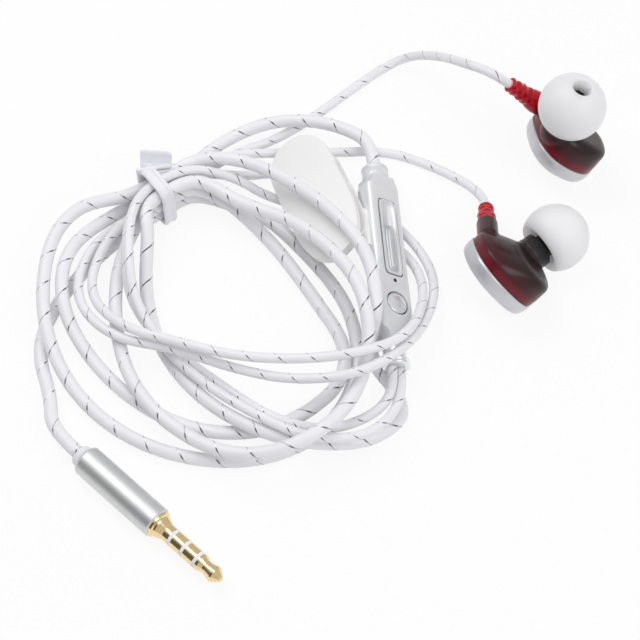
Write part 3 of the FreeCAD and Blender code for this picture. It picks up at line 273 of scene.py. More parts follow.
def sheath(name, line, radius, sides, step):
    """A round sheath or wire along a line, unrolled so that a thread can wind round it."""
    path, total = even(line, step * MM)
    side = None
    verts = []
    for k, p in enumerate(path):
        t = (path[min(k + 1, len(path) - 1)] - path[max(k - 1, 0)]).normalized()
        side = (side - t * side.dot(t) if k else t.cross(V((0, 0, 1)))).normalized()
        up = t.cross(side)
        for s in range(sides):
            turn = 2 * math.pi * s / sides
            verts.append(p + (side * math.cos(turn) + up * math.sin(turn)) * radius * MM)
    faces = []
    uvs = []
    spacing = total / (len(path) - 1) / MM
    for k in range(len(path) - 1):
        for s in range(sides):
            a = k * sides
            b = a + sides
            n = (s + 1) % sides
            faces.append((a + s, a + n, b + n, b + s))
            uvs += [((k + i) * spacing, (s + j) / sides) for i, j in FACE_CORNERS]
    last = (len(path) - 1) * sides
    faces += [tuple(range(sides - 1, -1, -1)), tuple(range(last, last + sides))]
    uvs += [(0, 0)] * (2 * sides)
    mesh = bpy.data.meshes.new(name)
    mesh.from_pydata([tuple(v) for v in verts], [], faces)
    layer = mesh.uv_layers.new(name="wound")
    for loop, uv in zip(layer.data, uvs):
        loop.uv = uv
    for face in mesh.polygons:
        face.use_smooth = len(face.vertices) == 4
    mesh.update()
    return link(name, mesh), path, total


def lay_cords(strap, collar):
    """The main cord from the plug to the remote, and the thin cords on to the earbuds."""
    up = heading_of(REMOTE_HEADING)
    top_end = on_remote(REMOTE_TOP).translation
    main = [PLUG_REAR, PLUG_REAR - heading_of(PLUG_HEADING) * PLUG_LEAD]
    main += [V(p) for p in PLUG_ROUTE] + [in_tie(COIL_SLOTS[0], -PLUG_LEAD)] + coil_points()
    main += [in_tie(COIL_SLOTS[-1], TIE_LEAVE)] + [V(p) for p in REMOTE_ROUTE]
    main += [top_end + up * REMOTE_LEAD, top_end]
    main.reverse()
    cord, path, length = sheath("main_cord", smooth_line("main_line", main), MAIN_R,
                                MAIN_SIDES, MAIN_STEP)
    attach(cord, "handset")
    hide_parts("main_cord_plug_end", "main_cord_coil", "main_cord_remote_end")
    on_cord = [nodes[n] for n in sorted(nodes) if n.startswith("plug_") and n != "plug_collar"]
    on_cord += [strap, collar]

    for name, way, lead, slots, out, round_coil, home in (
            ("left_cord", -1, LEFT_LEAD, LEFT_SLOTS, LEFT_OUT, LEFT_ROUND, LEFT_HOME),
            ("right_cord", 1, RIGHT_LEAD, RIGHT_SLOTS, RIGHT_OUT, RIGHT_ROUND, RIGHT_HOME)):
        start = on_remote(-REMOTE_FOOT) @ V((way * TWIN_PITCH / 2, 0, 0))
        route = [start, start - up * lead]
        for points, slot, half in ((out, slots[0], FIRST_PASS),
                                   (round_coil, slots[1], SECOND_PASS)):
            route += [V(p) for p in points] + [in_tie(slot, -half), in_tie(slot, half)]
        route += [V(p) for p in home]
        thin, path, length = sheath(name + "_sheath", smooth_line(name + "_line", route), THIN_R,
                                    THIN_SIDES, THIN_STEP)
        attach(thin, "handset")
        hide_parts(name)


# ---- shaped pieces

LATHE_SIDES = 64
RING_SIDES = 72
EGG_SIDES = 32
EGG_RINGS = 16


def placed(origin, x_dir, z_dir):
    """The place whose local x and z point along two square directions."""
    z = V(z_dir).normalized()
    x = (V(x_dir) - z * V(x_dir).dot(z)).normalized()
    place = Matrix((x, z.cross(x), z)).transposed().to_4x4()
    place.translation = V(origin)
    return place


def on_remote(y):
    """A place on the remote's middle line: x across it, y along it, z out of its face."""
    up = heading_of(REMOTE_HEADING)
    roll = math.radians(REMOTE_ROLL)
    right = V((up.y, -up.x, 0))
    face = right * math.sin(roll) + V((0, 0, math.cos(roll)))
    across = right * math.cos(roll) - V((0, 0, math.sin(roll)))
    return placed(REMOTE_MID + up * y, across, face)


def form(name, place, rings, hollow=False):
    """A mesh through rings of points, closed at both ends, or joined end to start if hollow."""
    sides = len(rings[0])
    count = len(rings)
    faces = []
    for k in range(count if hollow else count - 1):
        a = k * sides
        b = (k + 1) % count * sides
        faces += [(a + s, a + (s + 1) % sides, b + (s + 1) % sides, b + s) for s in range(sides)]
    if not hollow:
        last = (count - 1) * sides
        faces += [tuple(range(sides - 1, -1, -1)), tuple(range(last, last + sides))]
    mesh = bpy.data.meshes.new(name)
    mesh.from_pydata([tuple(place @ V(p) * MM) for ring in rings for p in ring], [], faces)
    work = bmesh.new()
    work.from_mesh(mesh)
    bmesh.ops.recalc_face_normals(work, faces=work.faces)
    work.to_mesh(mesh)
    work.free()
    return link(name, mesh)


def lathe(profile, sides=LATHE_SIDES, shape=None):
    """Rings of a turned profile of radius and height; shape may change the radius with the turn."""
    rings = []
    for r, z in profile:
        ring = []
        for s in range(sides):
            turn = 2 * math.pi * s / sides
            radius = shape(r, z, turn) if shape else r
            ring.append((radius * math.cos(turn), radius * math.sin(turn), z))
        rings.append(ring)
    return rings


def squared_ring(x0, x1, y0, y1, middle, square, z):
    """A rounded outline between four sides; square above 2 fills its corners."""
    ring = []
    for s in range(RING_SIDES):
        c = math.cos(2 * math.pi * s / RING_SIDES)
        d = math.sin(2 * math.pi * s / RING_SIDES)
        reach_x = (x1 if c > 0 else x0) - middle[0]
        reach_y = (y1 if d > 0 else y0) - middle[1]
        ring.append((middle[0] + reach_x * abs(c) ** (2 / square),
                     middle[1] + reach_y * abs(d) ** (2 / square), z))
    return ring


def centred_ring(half_width, half_length, y, square, z):
    """A rounded outline that is even about the middle line, its middle at y."""
    return squared_ring(-half_width, half_width, y - half_length, y + half_length, (0, y),
                        square, z)


def long_rings(half_width, half_length, profile):
    """Rings of a long pad or tray, each set in from its edge, at its own height and squareness."""
    return [centred_ring(half_width - inset, half_length - inset, 0, square, z)
            for inset, z, square in profile]


def egg(middle, radii):
    """Rings of a rounded swelling."""
    rings = []
    around = [2 * math.pi * s / EGG_SIDES for s in range(EGG_SIDES)]
    for k in range(1, EGG_RINGS):
        turn = math.pi * k / EGG_RINGS
        rings.append([(middle[0] + radii[0] * math.sin(turn) * math.cos(a),
                       middle[1] + radii[1] * math.sin(turn) * math.sin(a),
                       middle[2] - radii[2] * math.cos(turn)) for a in around])
    return rings


def melt(name, parts, grain, rounds):
    """The parts as one moulding whose inner corners run together."""
    piece = parts[0]
    for part in parts[1:]:
        work = bmesh.new()
        work.from_mesh(piece.data)
        work.from_mesh(part.data)
        work.to_mesh(piece.data)
        work.free()
        bpy.data.objects.remove(part)
    piece.name = name
    remesh = piece.modifiers.new("one_skin", "REMESH")
    remesh.mode = "VOXEL"
    remesh.voxel_size = grain * MM
    soften = piece.modifiers.new("softened", "SMOOTH")
    soften.factor = 0.5
    soften.iterations = rounds
    graph = bpy.context.evaluated_depsgraph_get()
    skin = bpy.data.meshes.new_from_object(piece.evaluated_get(graph))
    piece.modifiers.clear()
    rough = piece.data
    piece.data = skin
    bpy.data.meshes.remove(rough)
    return piece


def seat(piece, node=None):
    """Smooths the piece; it goes with the body of the node it stands for, or the handset."""
    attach(piece, nodes[node].get("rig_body", "handset") if node else "handset")
    if node:
        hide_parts(node)
    for face in piece.data.polygons:
        face.use_smooth = True
    return piece


# ---- earbuds

UPPER = placed((24.79, 21.5, 7.73), (-0.814, 0.112, 0.570), (0.576, 0.283, 0.767))
MIRROR = Matrix.Diagonal((1, -1, 1, 1))
LOWER = placed((11.48, -9.85, 8.09), (-0.08, 0.871, -0.485),
               (0.744, 0.376, 0.553)) @ MIRROR
NOZZLE = placed((2.15, 2.15, 0), (0, 1, 0), heading_of(36, 62))
BOOT = placed((5.5, -5.9, 2.4), (0, 1, 0), heading_of(3.6, 5.9))

CAP_EDGE = (-8.7, 6.4, -8.7, 8.7)
BODY_EDGE = (-8.0, 5.6, -3.5, 8.1)
CAP_SQUARE = 2.4
BODY_SQUARE = 2.5
# Rings of the cap (inset, height) and of the housing (share, inset, height), from edge_ring.
CAP_RINGS = [(1.9, -3.3), (1.15, -3.22), (0.65, -2.95), (0.34, -2.5), (0.14, -1.9),
             (0.02, -1.2), (0, -0.6), (0, -0.12), (0.1, -0.02), (0.6, 0)]
HULL_RINGS = [(0, 0.3, 0.02), (0, 0.15, 0.15), (0, 0.15, 1.5), (0, 0.16, 2.2), (0.1, 0.2, 2.8),
              (0.26, 0.24, 3.4), (0.52, 0.25, 4.1), (0.8, 0.32, 4.8), (1, 0.62, 5.4),
              (1, 1.3, 5.85), (1, 2.3, 6.05)]
SHOULDER_AT = (0, -4.0, 1.1)
SHOULDER_RADII = (5.3, 3.7, 3.3)
SHELL_GRAIN = 0.2
SHELL_ROUNDS = 7
# Turned profiles: rows of radius and height.
NECK_PROFILE = [(2.6, 1.9), (3.4, 2.6), (3.85, 3.6), (3.8, 4.8), (3.5, 6.4), (3.45, 8.3),
                (3.3, 8.4)]
PORT_PROFILE = [(0.9, -5.2), (1.9, -4.0), (2.15, -2.5), (2.15, 2.8), (2.0, 3.0)]
SPOUT_PROFILE = [(3.3, 5.6), (3.58, 5.7), (3.6, 6.2), (3.5, 6.4), (3.5, 8.3), (3.35, 8.45),
                 (2.4, 8.45), (2.4, 15.0), (2.3, 15.1), (1.65, 15.1), (1.6, 15.0), (1.6, 5.6)]

TIP_CENTRE = 12.5
TIP_R = 6.8
TIP_RIM_TURN = -36.5
TIP_MOUTH_TURN = 67.9
TIP_STEPS = 18
TIP_SIDES = 96
TIP_INSIDE = [(2.3, 6.42), (2.05, 6.3), (1.95, 6.0), (1.95, 4.5), (1.95, 2.9), (2.55, 2.8),
              (2.55, -2.5), (2.7, -2.7), (3.2, -3.0), (3.7, -3.5), (4.2, -3.7), (4.7, -3.85),
              (5.0, -3.98), (5.15, -4.1), (5.35, -4.12)]

LOBES_FROM = 3.7
LOBES_TO = 9.0
LOBE_PITCH = 1.6
LOBES_ROUND = 4
LOBE_DIP = 0.06
ROW_DIP = 0.14
RELIEF_R = 1.95
RELIEF_TAPER = 0.42
RELIEF_STEPS = 40
UPPER_RELIEF_FOOT = [(2.1, 0.4), (2.3, 0.5), (2.38, 1.6), (2.2, 2.9), (2.05, 3.4), (1.98, 3.6)]
LOWER_RELIEF_FOOT = [(1.2, -0.9), (1.3, 2.9), (1.95, 3.0), (2.02, 3.2), (1.98, 3.5)]
RELIEF_END = [(1.6, 9.05), (1.6, 9.15), (1.35, 9.2)]


def edge_ring(share, inset, z):
    """The housing's outline, some share of the way from the cap's to the raised body's."""
    x0, x1, y0, y1 = CAP_EDGE
    outer = squared_ring(x0 + inset, x1 - inset, y0 + inset, y1 - inset, (0, 0), CAP_SQUARE, z)
    x0, x1, y0, y1 = BODY_EDGE
    middle = ((x0 + x1) / 2, (y0 + y1) / 2)
    inner = squared_ring(x0 + inset, x1 - inset, y0 + inset, y1 - inset, middle, BODY_SQUARE, z)
    return [tuple(V(a).lerp(V(b), share)) for a, b in zip(outer, inner)]


def tip_profile():
    """The soft dome's outline from its rim over the crown into the bore, and back under."""
    profile = []
    for k in range(TIP_STEPS + 1):
        turn = math.radians(TIP_RIM_TURN + k * (TIP_MOUTH_TURN - TIP_RIM_TURN) / TIP_STEPS)
        profile.append((TIP_R * math.cos(turn), TIP_R * math.sin(turn)))
    return profile + TIP_INSIDE


def relief_radius(r, z, turn):
    """Rows of soft lobes round the tapered relief, each row set between the last one's."""
    if not LOBES_FROM < z < LOBES_TO:
        return r
    place = (z - LOBES_FROM) / LOBE_PITCH
    row = math.floor(place)
    across = math.sin(math.pi * (place - row)) ** 2
    lobe = 0.5 + 0.5 * math.cos(LOBES_ROUND * turn + math.pi * (row % 2))
    return r - LOBE_DIP * across * (1 - lobe) - ROW_DIP * (1 - across) + ROW_DIP * across * lobe


def make_bud(name, place, relief_foot):
    """One earbud's cap, housing, spout, soft tip and relief."""
    nozzle = place @ NOZZLE
    boot = place @ BOOT
    cap = form(name + "_cap_skin", place, [edge_ring(0, *row) for row in CAP_RINGS])
    seat(cap, name + "_back_cap")
    shell = melt(name + "_shell_skin", [
        form(name + "_hull", place, [edge_ring(*row) for row in HULL_RINGS]),
        form(name + "_shoulder", place, egg(SHOULDER_AT, SHOULDER_RADII)),
        form(name + "_neck", nozzle, lathe(NECK_PROFILE)),
        form(name + "_port", boot, lathe(PORT_PROFILE))], SHELL_GRAIN, SHELL_ROUNDS)
    seat(shell, name + "_shell")
    seat(form(name + "_spout", nozzle, lathe(SPOUT_PROFILE), hollow=True))
    dome = nozzle @ Matrix.Translation((0, 0, TIP_CENTRE))
    tip = form(name + "_tip_dome", dome, lathe(tip_profile(), TIP_SIDES), hollow=True)
    seat(tip, name + "_ear_tip")
    taper = [(RELIEF_R - RELIEF_TAPER * (k / RELIEF_STEPS),
              LOBES_FROM + (LOBES_TO - LOBES_FROM) * k / RELIEF_STEPS)
             for k in range(RELIEF_STEPS + 1)]
    relief = form(name + "_relief_skin", boot,
                  lathe(relief_foot + taper + RELIEF_END, shape=relief_radius))
    seat(relief, name + "_strain_relief")


# ---- strap

STRAP_LEFT, STRAP_RIGHT, STRAP_LOW, STRAP_HIGH = -5.1, 4.6, -0.6, 10.25
STRAP_CORNER = 1.9
STRAP_WIDE_CORNER = 4.4
STRAP_CORNER_STEPS = 12
STRAP_WIDTH = 2.9
STRAP_THICK = 1.1
STRAP_SIDES = 32
STRAP_ROUNDNESS = (0.8, 0.7)
STRAP_WEB_EDGE = 0.75
STRAP_WEB_SLOPE = 1.6
STRAP_WEB_THINNED = 0.45
STRAP_GRAIN = 0.12
STRAP_ROUNDS = 5
# A flat end of the strap: rows of its share of the length and its share of the width.
FLAT_END = [(0, 0.94), (0.02, 1), (0.5, 1), (0.86, 1), (0.93, 0.93), (0.97, 0.84), (1, 0.7)]
FOLD_SLOT = (2.93, 8.58)
FOLD_SHIFT = V((0.5, 0, 0))
FOLD_TURN = 11
FOLD_LEAN = 30
FOLD_RISE = 0.2
FOLD_REACH, FOLD_WIDTH = 3.45, 4.0
TAB_AT = V((0.65, 1.1, 0.2))
TAB_TURN = -5
TAB_REACH, TAB_MIDDLE, TAB_WIDTH, TAB_THICK = 3.25, 2.1, 4.1, 0.95


def strap_path():
    """The strap's middle line round the bundle, across it and up."""
    near = STRAP_CORNER
    wide = STRAP_WIDE_CORNER
    corners = ((STRAP_RIGHT - near, STRAP_LOW + near, near, -90),
               (STRAP_RIGHT - wide, STRAP_HIGH - wide, wide, 0),
               (STRAP_LEFT + near, STRAP_HIGH - near, near, 90),
               (STRAP_LEFT + near, STRAP_LOW + near, near, 180))
    path = []
    for x, y, r, start in corners:
        for k in range(STRAP_CORNER_STEPS + 1):
            turn = math.radians(start + 90 * k / STRAP_CORNER_STEPS)
            path.append((x + r * math.cos(turn), y + r * math.sin(turn)))
    return path


def strap_section(width, thick):
    """Across the strap: its two rolled edges and the flatter web between them."""
    section = []
    for s in range(STRAP_SIDES):
        c = math.cos(2 * math.pi * s / STRAP_SIDES)
        d = math.sin(2 * math.pi * s / STRAP_SIDES)
        wide = math.copysign(abs(c) ** STRAP_ROUNDNESS[0], c) * width / 2
        high = math.copysign(abs(d) ** STRAP_ROUNDNESS[1], d) * thick / 2
        web = max(0.0, 1 - (wide / (width / 2 - thick * STRAP_WEB_EDGE)) ** 2)
        section.append((wide, high * (1 - STRAP_WEB_THINNED * min(1.0, STRAP_WEB_SLOPE * web))))
    return section


def flat_end(name, place, reach, middle, width, thick):
    """A straight piece of the strap along x with a rounded far end."""
    rings = []
    for share, narrow in FLAT_END:
        x = -reach + 2 * reach * share
        rings.append([(x, middle + wide * narrow, high)
                      for wide, high in strap_section(width, thick)])
    return form(name, place, rings)


def make_strap():
    """The strap's loop round the bundle with its folded tail and raised tab."""
    ahead = heading_of(TIE_HEADING)
    bundle = placed(TIE_MID - ahead, heading_of(TIE_HEADING + 90), ahead)
    path = strap_path()
    section = strap_section(STRAP_WIDTH, STRAP_THICK)
    rings = []
    for k, (x, y) in enumerate(path):
        (xa, ya), (xb, yb) = path[k - 1], path[(k + 1) % len(path)]
        out = V((yb - ya, xa - xb)).normalized()
        rings.append([(x + out.x * high, y + out.y * high, wide) for wide, high in section])
    loop = form("strap_loop", bundle, rings, hollow=True)
    folded = placed(in_tie(FOLD_SLOT) + FOLD_SHIFT, heading_of(FOLD_TURN),
                    heading_of(FOLD_TURN + 90, FOLD_LEAN))
    fold = flat_end("strap_fold", folded @ Matrix.Translation((0, 0, FOLD_RISE)), FOLD_REACH, 0,
                    FOLD_WIDTH, STRAP_THICK)
    raised = placed(folded @ TAB_AT, heading_of(TAB_TURN), heading_of(TAB_TURN - 90, FOLD_LEAN))
    tab = flat_end("strap_tab", raised, TAB_REACH, TAB_MIDDLE, TAB_WIDTH, TAB_THICK)
    skin = melt("strap_skin", [loop, fold, tab], STRAP_GRAIN, STRAP_ROUNDS)
    return seat(skin, "cable_tie")


# ---- collars and the remote

REMOTE_HALF = 19.2
WINDOW_Y = 4.2
KNOB_Y = 1.5
BUTTON_Y = -11.1
MIC_Y = -5.9
PLUG_COLLAR_PROFILE = [(1.36, -0.05), (1.7, 0.0), (2.05, 0.15), (2.2, 0.45), (2.2, 2.6),
                       (2.4, 2.6), (2.4, 5.4), (1.0, 5.5)]
TOP_PROFILE = [(1.4, -0.9), (2.4, -0.9), (2.62, -0.3), (2.72, 0.1), (2.75, 0.5), (2.72, 1.9),
               (2.6, 2.05), (2.6, 2.25), (2.74, 2.4), (2.74, 2.85), (2.6, 3.0), (1.4, 3.0)]
FOOT_PROFILE = [(1.0, -0.8), (1.4, -0.8), (1.4, -0.05), (2.48, 0), (2.4, 1.2), (2.2, 3.6),
                (2.25, 3.75), (2.6, 3.85), (2.74, 4.0), (2.75, 4.25), (2.62, 4.4), (2.48, 4.46),
                (2.62, 4.55), (2.75, 4.68), (2.75, 5.0), (2.6, 5.19), (1.9, 5.2)]
BUTTON_PROFILE = [(0.6, 0.9), (0.6, 1.2), (2.28, 1.25), (2.3, 1.4), (2.3, 2.42), (2.24, 2.56),
                  (2.08, 2.66), (1.9, 2.62), (1.82, 2.66), (1.5, 2.74), (1.0, 2.8), (0.5, 2.83)]
MIC_PROFILE = [(0.3, 2.0), (0.34, 2.05), (0.42, 2.61), (0.38, 2.64), (0.3, 2.6), (0.12, 2.5)]
# Halves are half a width and half a length. The knob's rows are inset and height; the bed's
# and the seam's also have their squareness.
KNOB_HALVES = (1.5, 5.5)
KNOB_SQUARE = 5.0
KNOB_STEPS = [(0.03, 2.25), (0, 2.3), (0, 2.62), (0.06, 2.7), (0.3, 2.7), (0.33, 2.38),
              (0.5, 2.38), (0.53, 2.86), (0.6, 2.92), (0.76, 2.9), (0.79, 2.58), (0.94, 2.58),
              (0.97, 3.08), (1.04, 3.14), (1.15, 3.15)]
BED_HALVES = (1.66, 8.36)
BED_STEPS = [(-0.1, 1.9, 14), (-0.1, 2.72, 14), (0.0, 2.75, 5), (0.06, 2.2, 5), (0.16, 2.08, 5)]
SEAM_HALVES = (2.3, 9.0)
SEAM_STEPS = [(0, 2.5, 9), (0, 2.63, 9), (0.06, 2.68, 9), (0.2, 2.68, 9), (0.24, 2.5, 9)]
STEM_Y = -3.5
STEM_SQUARE = 4
STEM_HALVES = (0.5, 1.0)
STEM_HEIGHTS = (1.2, 2.2)
SLOT_HALVES = (0.7, 4.0)
SLOT_HEIGHTS = (2.06, 1.9)


def make_plug_collar():
    """The soft collar that the cord enters behind the plug."""
    plug = placed(PLUG_REAR, (0, 0, 1), heading_of(PLUG_HEADING))
    collar = form("plug_collar_skin", plug, lathe(PLUG_COLLAR_PROFILE))
    return seat(collar, "plug_collar")


def make_end_collar(name, end, profile, node):
    """A turned collar on the remote, with end 1 at its top and -1 at its foot."""
    place = placed(on_remote(end * REMOTE_HALF).translation, (0, 0, 1),
                   heading_of(REMOTE_HEADING) * end)
    seat(form(name, place, lathe(profile)), node)


def make_slider():
    """The slider's knob, a long pad with two raised steps, on a narrow stem."""
    stem = [centred_ring(*STEM_HALVES, STEM_Y, STEM_SQUARE, z) for z in STEM_HEIGHTS]
    pad = long_rings(*KNOB_HALVES, [(inset, z, KNOB_SQUARE) for inset, z in KNOB_STEPS])
    seat(form("slider_knob", on_remote(KNOB_Y), stem + pad), "volume_slider")


def make_window():
    """The shallow bed round the slider's slot, and round the window's rim a dark ring, the painted
    shadow of its seam.
    """
    place = on_remote(WINDOW_Y)
    tray = long_rings(*BED_HALVES, BED_STEPS)
    slot = [centred_ring(*SLOT_HALVES, STEM_Y, STEM_SQUARE, z) for z in SLOT_HEIGHTS]
    seat(form("window_bed", place, tray + slot, hollow=True))
    seam = long_rings(*SEAM_HALVES, SEAM_STEPS)
    seat(form("window_seam", place, seam, hollow=True))


def make_mic_plug():
    """The dark dished plug in the microphone's hole."""
    seat(form("mic_plug", on_remote(MIC_Y), lathe(MIC_PROFILE)))


def make_button():
    """The call button, a crowned disc with a bevelled edge on its stem."""
    disc = form("button_disc", on_remote(BUTTON_Y), lathe(BUTTON_PROFILE))
    seat(disc, "call_button")


# ---- clip spring

CLIP_TURN = math.radians(18)
CLIP_TILT = math.radians(22)
CLIP_MOUNT = (-4.25, 14.6, 0)
CLIP_BEHIND = 7.9
CLIP_OUT = 0.6
PIN_HEIGHT = 2.2
SPRING_WIRE_R = 0.18
SPRING_COIL_R = 0.92
SPRING_FROM = -3.6
SPRING_TO = -1.2
SPRING_LEG = 7.2
SPRING_HALF_TURNS = 11
SPRING_ARC_STEPS = 12
SPRING_SIDES = 10
SPRING_STEP = 0.2
SPRING_HELD = 0.2


def make_spring():
    """The clip's wound spring, one leg on the base and the other under the jaw."""
    out = V((-math.cos(CLIP_TILT), 0, math.sin(CLIP_TILT)))
    low = V((-math.sin(CLIP_TILT), 0, -math.cos(CLIP_TILT)))
    along = V((0, 1, 0)) * math.cos(CLIP_TURN) + low * math.sin(CLIP_TURN)
    clip = on_remote(0) @ placed(V(CLIP_MOUNT) + low * CLIP_BEHIND + out * CLIP_OUT, along, out)
    wire = [(-SPRING_LEG, SPRING_FROM, PIN_HEIGHT - SPRING_COIL_R)]
    steps = SPRING_ARC_STEPS * SPRING_HALF_TURNS
    for k in range(steps + 1):
        turn = math.pi * SPRING_HALF_TURNS * k / steps
        wire.append((SPRING_COIL_R * math.sin(turn),
                     SPRING_FROM + (SPRING_TO - SPRING_FROM) * k / steps,
                     PIN_HEIGHT - SPRING_COIL_R * math.cos(turn)))
    wire.append((-SPRING_LEG, SPRING_TO, PIN_HEIGHT + SPRING_COIL_R))
    spring = sheath("spring_wire", [clip @ V(p) * MM for p in wire], SPRING_WIRE_R,
                    SPRING_SIDES, SPRING_STEP)[0]
    clip @ V((0, SPRING_FROM + SPRING_HELD, PIN_HEIGHT)) * MM
    clip @ V((0, SPRING_TO - SPRING_HELD, PIN_HEIGHT)) * MM
    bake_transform(spring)
    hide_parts("clip_spring")


# ---- shading tools

SHEATH_ROUGHNESS = 0.42
SHEATH_CLOUD_SCALE = 90.0
# The wound thread's painted reflection. A painted dark reflection or a painted glint shows where
# the cord's surface leans up and toward the front by so much: from, to and how softly it fades.
THREAD_EDGE = 0.08
LEAN_SCATTER = 0.1
FRONT_SIDE_SHARE = 0.45
DARK_REFLECTION_LEAN = (0.7, 0.96, 0.05)
DARK_REFLECTION_FRONT = (0.08, 3.0, 0.06)
GLINT_LEAN = (0.97, 3.0, 0.02)
GLINT_FRONT = (-0.3, 0.04, 0.05)
GLINT_SKIPPED = 0.35
# The housing's painted red glow: bands of millimetres above the cap, and of the clouds in it.
GLOW_NARROW = (0.4, 1.0, 1.3)
GLOW_WIDE = (0.0, 1.2, 4.5)
GLOW_CLOUD = (0.5, 1.0, 0.35)
GLOW_CLOUD_SCALE = 170.0
GLOW_NARROW_SHARE = 0.62
GLOW_WIDE_SHARE = 0.3
GRAIN_SPREAD = 0.06
COAT_ROUGHNESS = 0.08


class Graph:
    """Short ways to add and join nodes in one tree."""

    def __init__(self, tree):
        self.tree = tree

    def add(self, kind, **values):
        node = self.tree.nodes.new(kind)
        for key, value in values.items():
            setattr(node, key, value)
        return node

    def join(self, source, socket):
        self.tree.links.new(source, socket)

    def math(self, operation, a, b=None, c=None):
        node = self.add("ShaderNodeMath", operation=operation)
        for socket, value in zip(node.inputs, (a, b, c)):
            if value is None:
                continue
            if isinstance(value, (int, float)):
                socket.default_value = value
            else:
                self.join(value, socket)
        return node.outputs[0]

    def band(self, value, low, high, soft):
        """1 between low and high, falling to 0 over soft on both sides."""
        rise = self.add("ShaderNodeMapRange", interpolation_type="SMOOTHSTEP")
        fall = self.add("ShaderNodeMapRange", interpolation_type="SMOOTHSTEP")
        for node, numbers in ((rise, (low - soft, low, 0, 1)), (fall, (high, high + soft, 1, 0))):
            self.join(value, node.inputs["Value"])
            for key, number in zip(("From Min", "From Max", "To Min", "To Max"), numbers):
                node.inputs[key].default_value = number
        return self.math("MULTIPLY", rise.outputs[0], fall.outputs[0])

    def mix(self, mask, a, b):
        """Colour a where the mask is 0 and b where it is 1; each a socket or three numbers."""
        node = self.add("ShaderNodeMix", data_type="RGBA")
        self.join(mask, node.inputs["Factor"])
        for key, value in ((6, a), (7, b)):
            if isinstance(value, tuple):
                node.inputs[key].default_value = value + (1,)
            else:
                self.join(value, node.inputs[key])
        return node.outputs[2]

    def noise(self, place, scale, detail):
        node = self.add("ShaderNodeTexNoise")
        self.join(place, node.inputs["Vector"])
        node.inputs["Scale"].default_value = scale
        node.inputs["Detail"].default_value = detail
        return node.outputs["Fac"]


def group(name, inputs, outputs):
    """A new shader node group, and the graph and sockets to fill it."""
    tree = bpy.data.node_groups.new(name, "ShaderNodeTree")
    for label, value in inputs:
        socket = tree.interface.new_socket(label, in_out="INPUT", socket_type="NodeSocketFloat")
        socket.default_value = value
    for label in outputs:
        kind = "NodeSocketColor" if label == "Colour" else "NodeSocketFloat"
        tree.interface.new_socket(label, in_out="OUTPUT", socket_type=kind)
    graph = Graph(tree)
    entry = graph.add("NodeGroupInput")
    leave = graph.add("NodeGroupOutput")
    return tree, graph, entry.outputs, leave.inputs


def build_wound_sheath():
    """A pale, faintly clouded sheath with a thin metal thread that winds under it, with a painted
    glint and a painted dark reflection on the thread where the surface faces up and toward the
    front.
    """
    tree, g, given, made = group("wound_sheath", [("Pitch", 7.0), ("Width", 0.3)],
                                 ["Colour", "Roughness", "Height"])
    place = g.add("ShaderNodeUVMap", uv_map="wound").outputs[0]
    split = g.add("ShaderNodeSeparateXYZ")
    g.join(place, split.inputs[0])
    along, round_it = split.outputs[0], split.outputs[1]
    turns = g.math("SUBTRACT", g.math("DIVIDE", along, given["Pitch"]), round_it)
    off = g.math("ABSOLUTE", g.math("SUBTRACT", g.math("FRACT", turns), 0.5))
    off = g.math("MULTIPLY", off, given["Pitch"])
    half = g.math("MULTIPLY", given["Width"], 0.5)
    line = g.math("ADD", g.math("DIVIDE", g.math("SUBTRACT", half, off), THREAD_EDGE), 0.5)
    line.node.use_clamp = True
    chance = g.add("ShaderNodeTexWhiteNoise", noise_dimensions="1D")
    g.join(g.math("FLOOR", turns), chance.inputs["W"])
    facing = g.add("ShaderNodeSeparateXYZ")
    g.join(g.add("ShaderNodeTexCoord").outputs["Normal"], facing.inputs[0])
    lean = g.math("MULTIPLY_ADD", chance.outputs["Value"], LEAN_SCATTER, facing.outputs[2])
    front = g.math("SUBTRACT", g.math("MULTIPLY", facing.outputs[0], FRONT_SIDE_SHARE),
                   facing.outputs[1])
    # Painted reflection of the metal thread: a dark dash, and a white glint just beside it, placed
    # by where the surface faces.
    painted_dark_reflection = g.math("MULTIPLY", g.band(lean, *DARK_REFLECTION_LEAN), g.band(front, *DARK_REFLECTION_FRONT))
    glint = g.math("MULTIPLY", g.band(lean, *GLINT_LEAN), g.band(front, *GLINT_FRONT))
    kept = g.math("GREATER_THAN", chance.outputs["Color"], GLINT_SKIPPED)
    glint = g.math("MULTIPLY", glint, kept)
    cloud = g.noise(g.add("ShaderNodeTexCoord").outputs["Object"], SHEATH_CLOUD_SCALE, 2.0)
    colour = g.mix(cloud, (0.84, 0.835, 0.855), (0.91, 0.905, 0.925))
    colour = g.mix(line, colour, (0.6, 0.59, 0.61))
    # The thread's painted dark reflection and painted glint, mixed into the sheath's colour.
    colour = g.mix(g.math("MULTIPLY", line, painted_dark_reflection), colour, (0.13, 0.125, 0.135))
    colour = g.mix(g.math("MULTIPLY", line, glint), colour, (1.0, 1.0, 1.0))
    g.join(colour, made["Colour"])
    g.join(g.math("MULTIPLY_ADD", line, -0.2, SHEATH_ROUGHNESS), made["Roughness"])
    g.join(line, made["Height"])
    return tree


def build_moulded_grain():
    """The faint unevenness of a moulded or painted surface."""
    tree, g, given, made = group("moulded_grain", [("Size mm", 0.3)], ["Shade", "Height"])
    place = g.add("ShaderNodeTexCoord").outputs["Object"]
    scale = g.math("DIVIDE", 1000.0, given["Size mm"])
    fine = g.add("ShaderNodeTexNoise")
    broad = g.add("ShaderNodeTexNoise")
    for node, share in ((fine, 1.0), (broad, 0.06)):
        g.join(place, node.inputs["Vector"])
        g.join(g.math("MULTIPLY", scale, share), node.inputs["Scale"])
        node.inputs["Detail"].default_value = 3.0
    g.join(broad.outputs["Fac"], made["Shade"])
    g.join(fine.outputs["Fac"], made["Height"])
    return tree


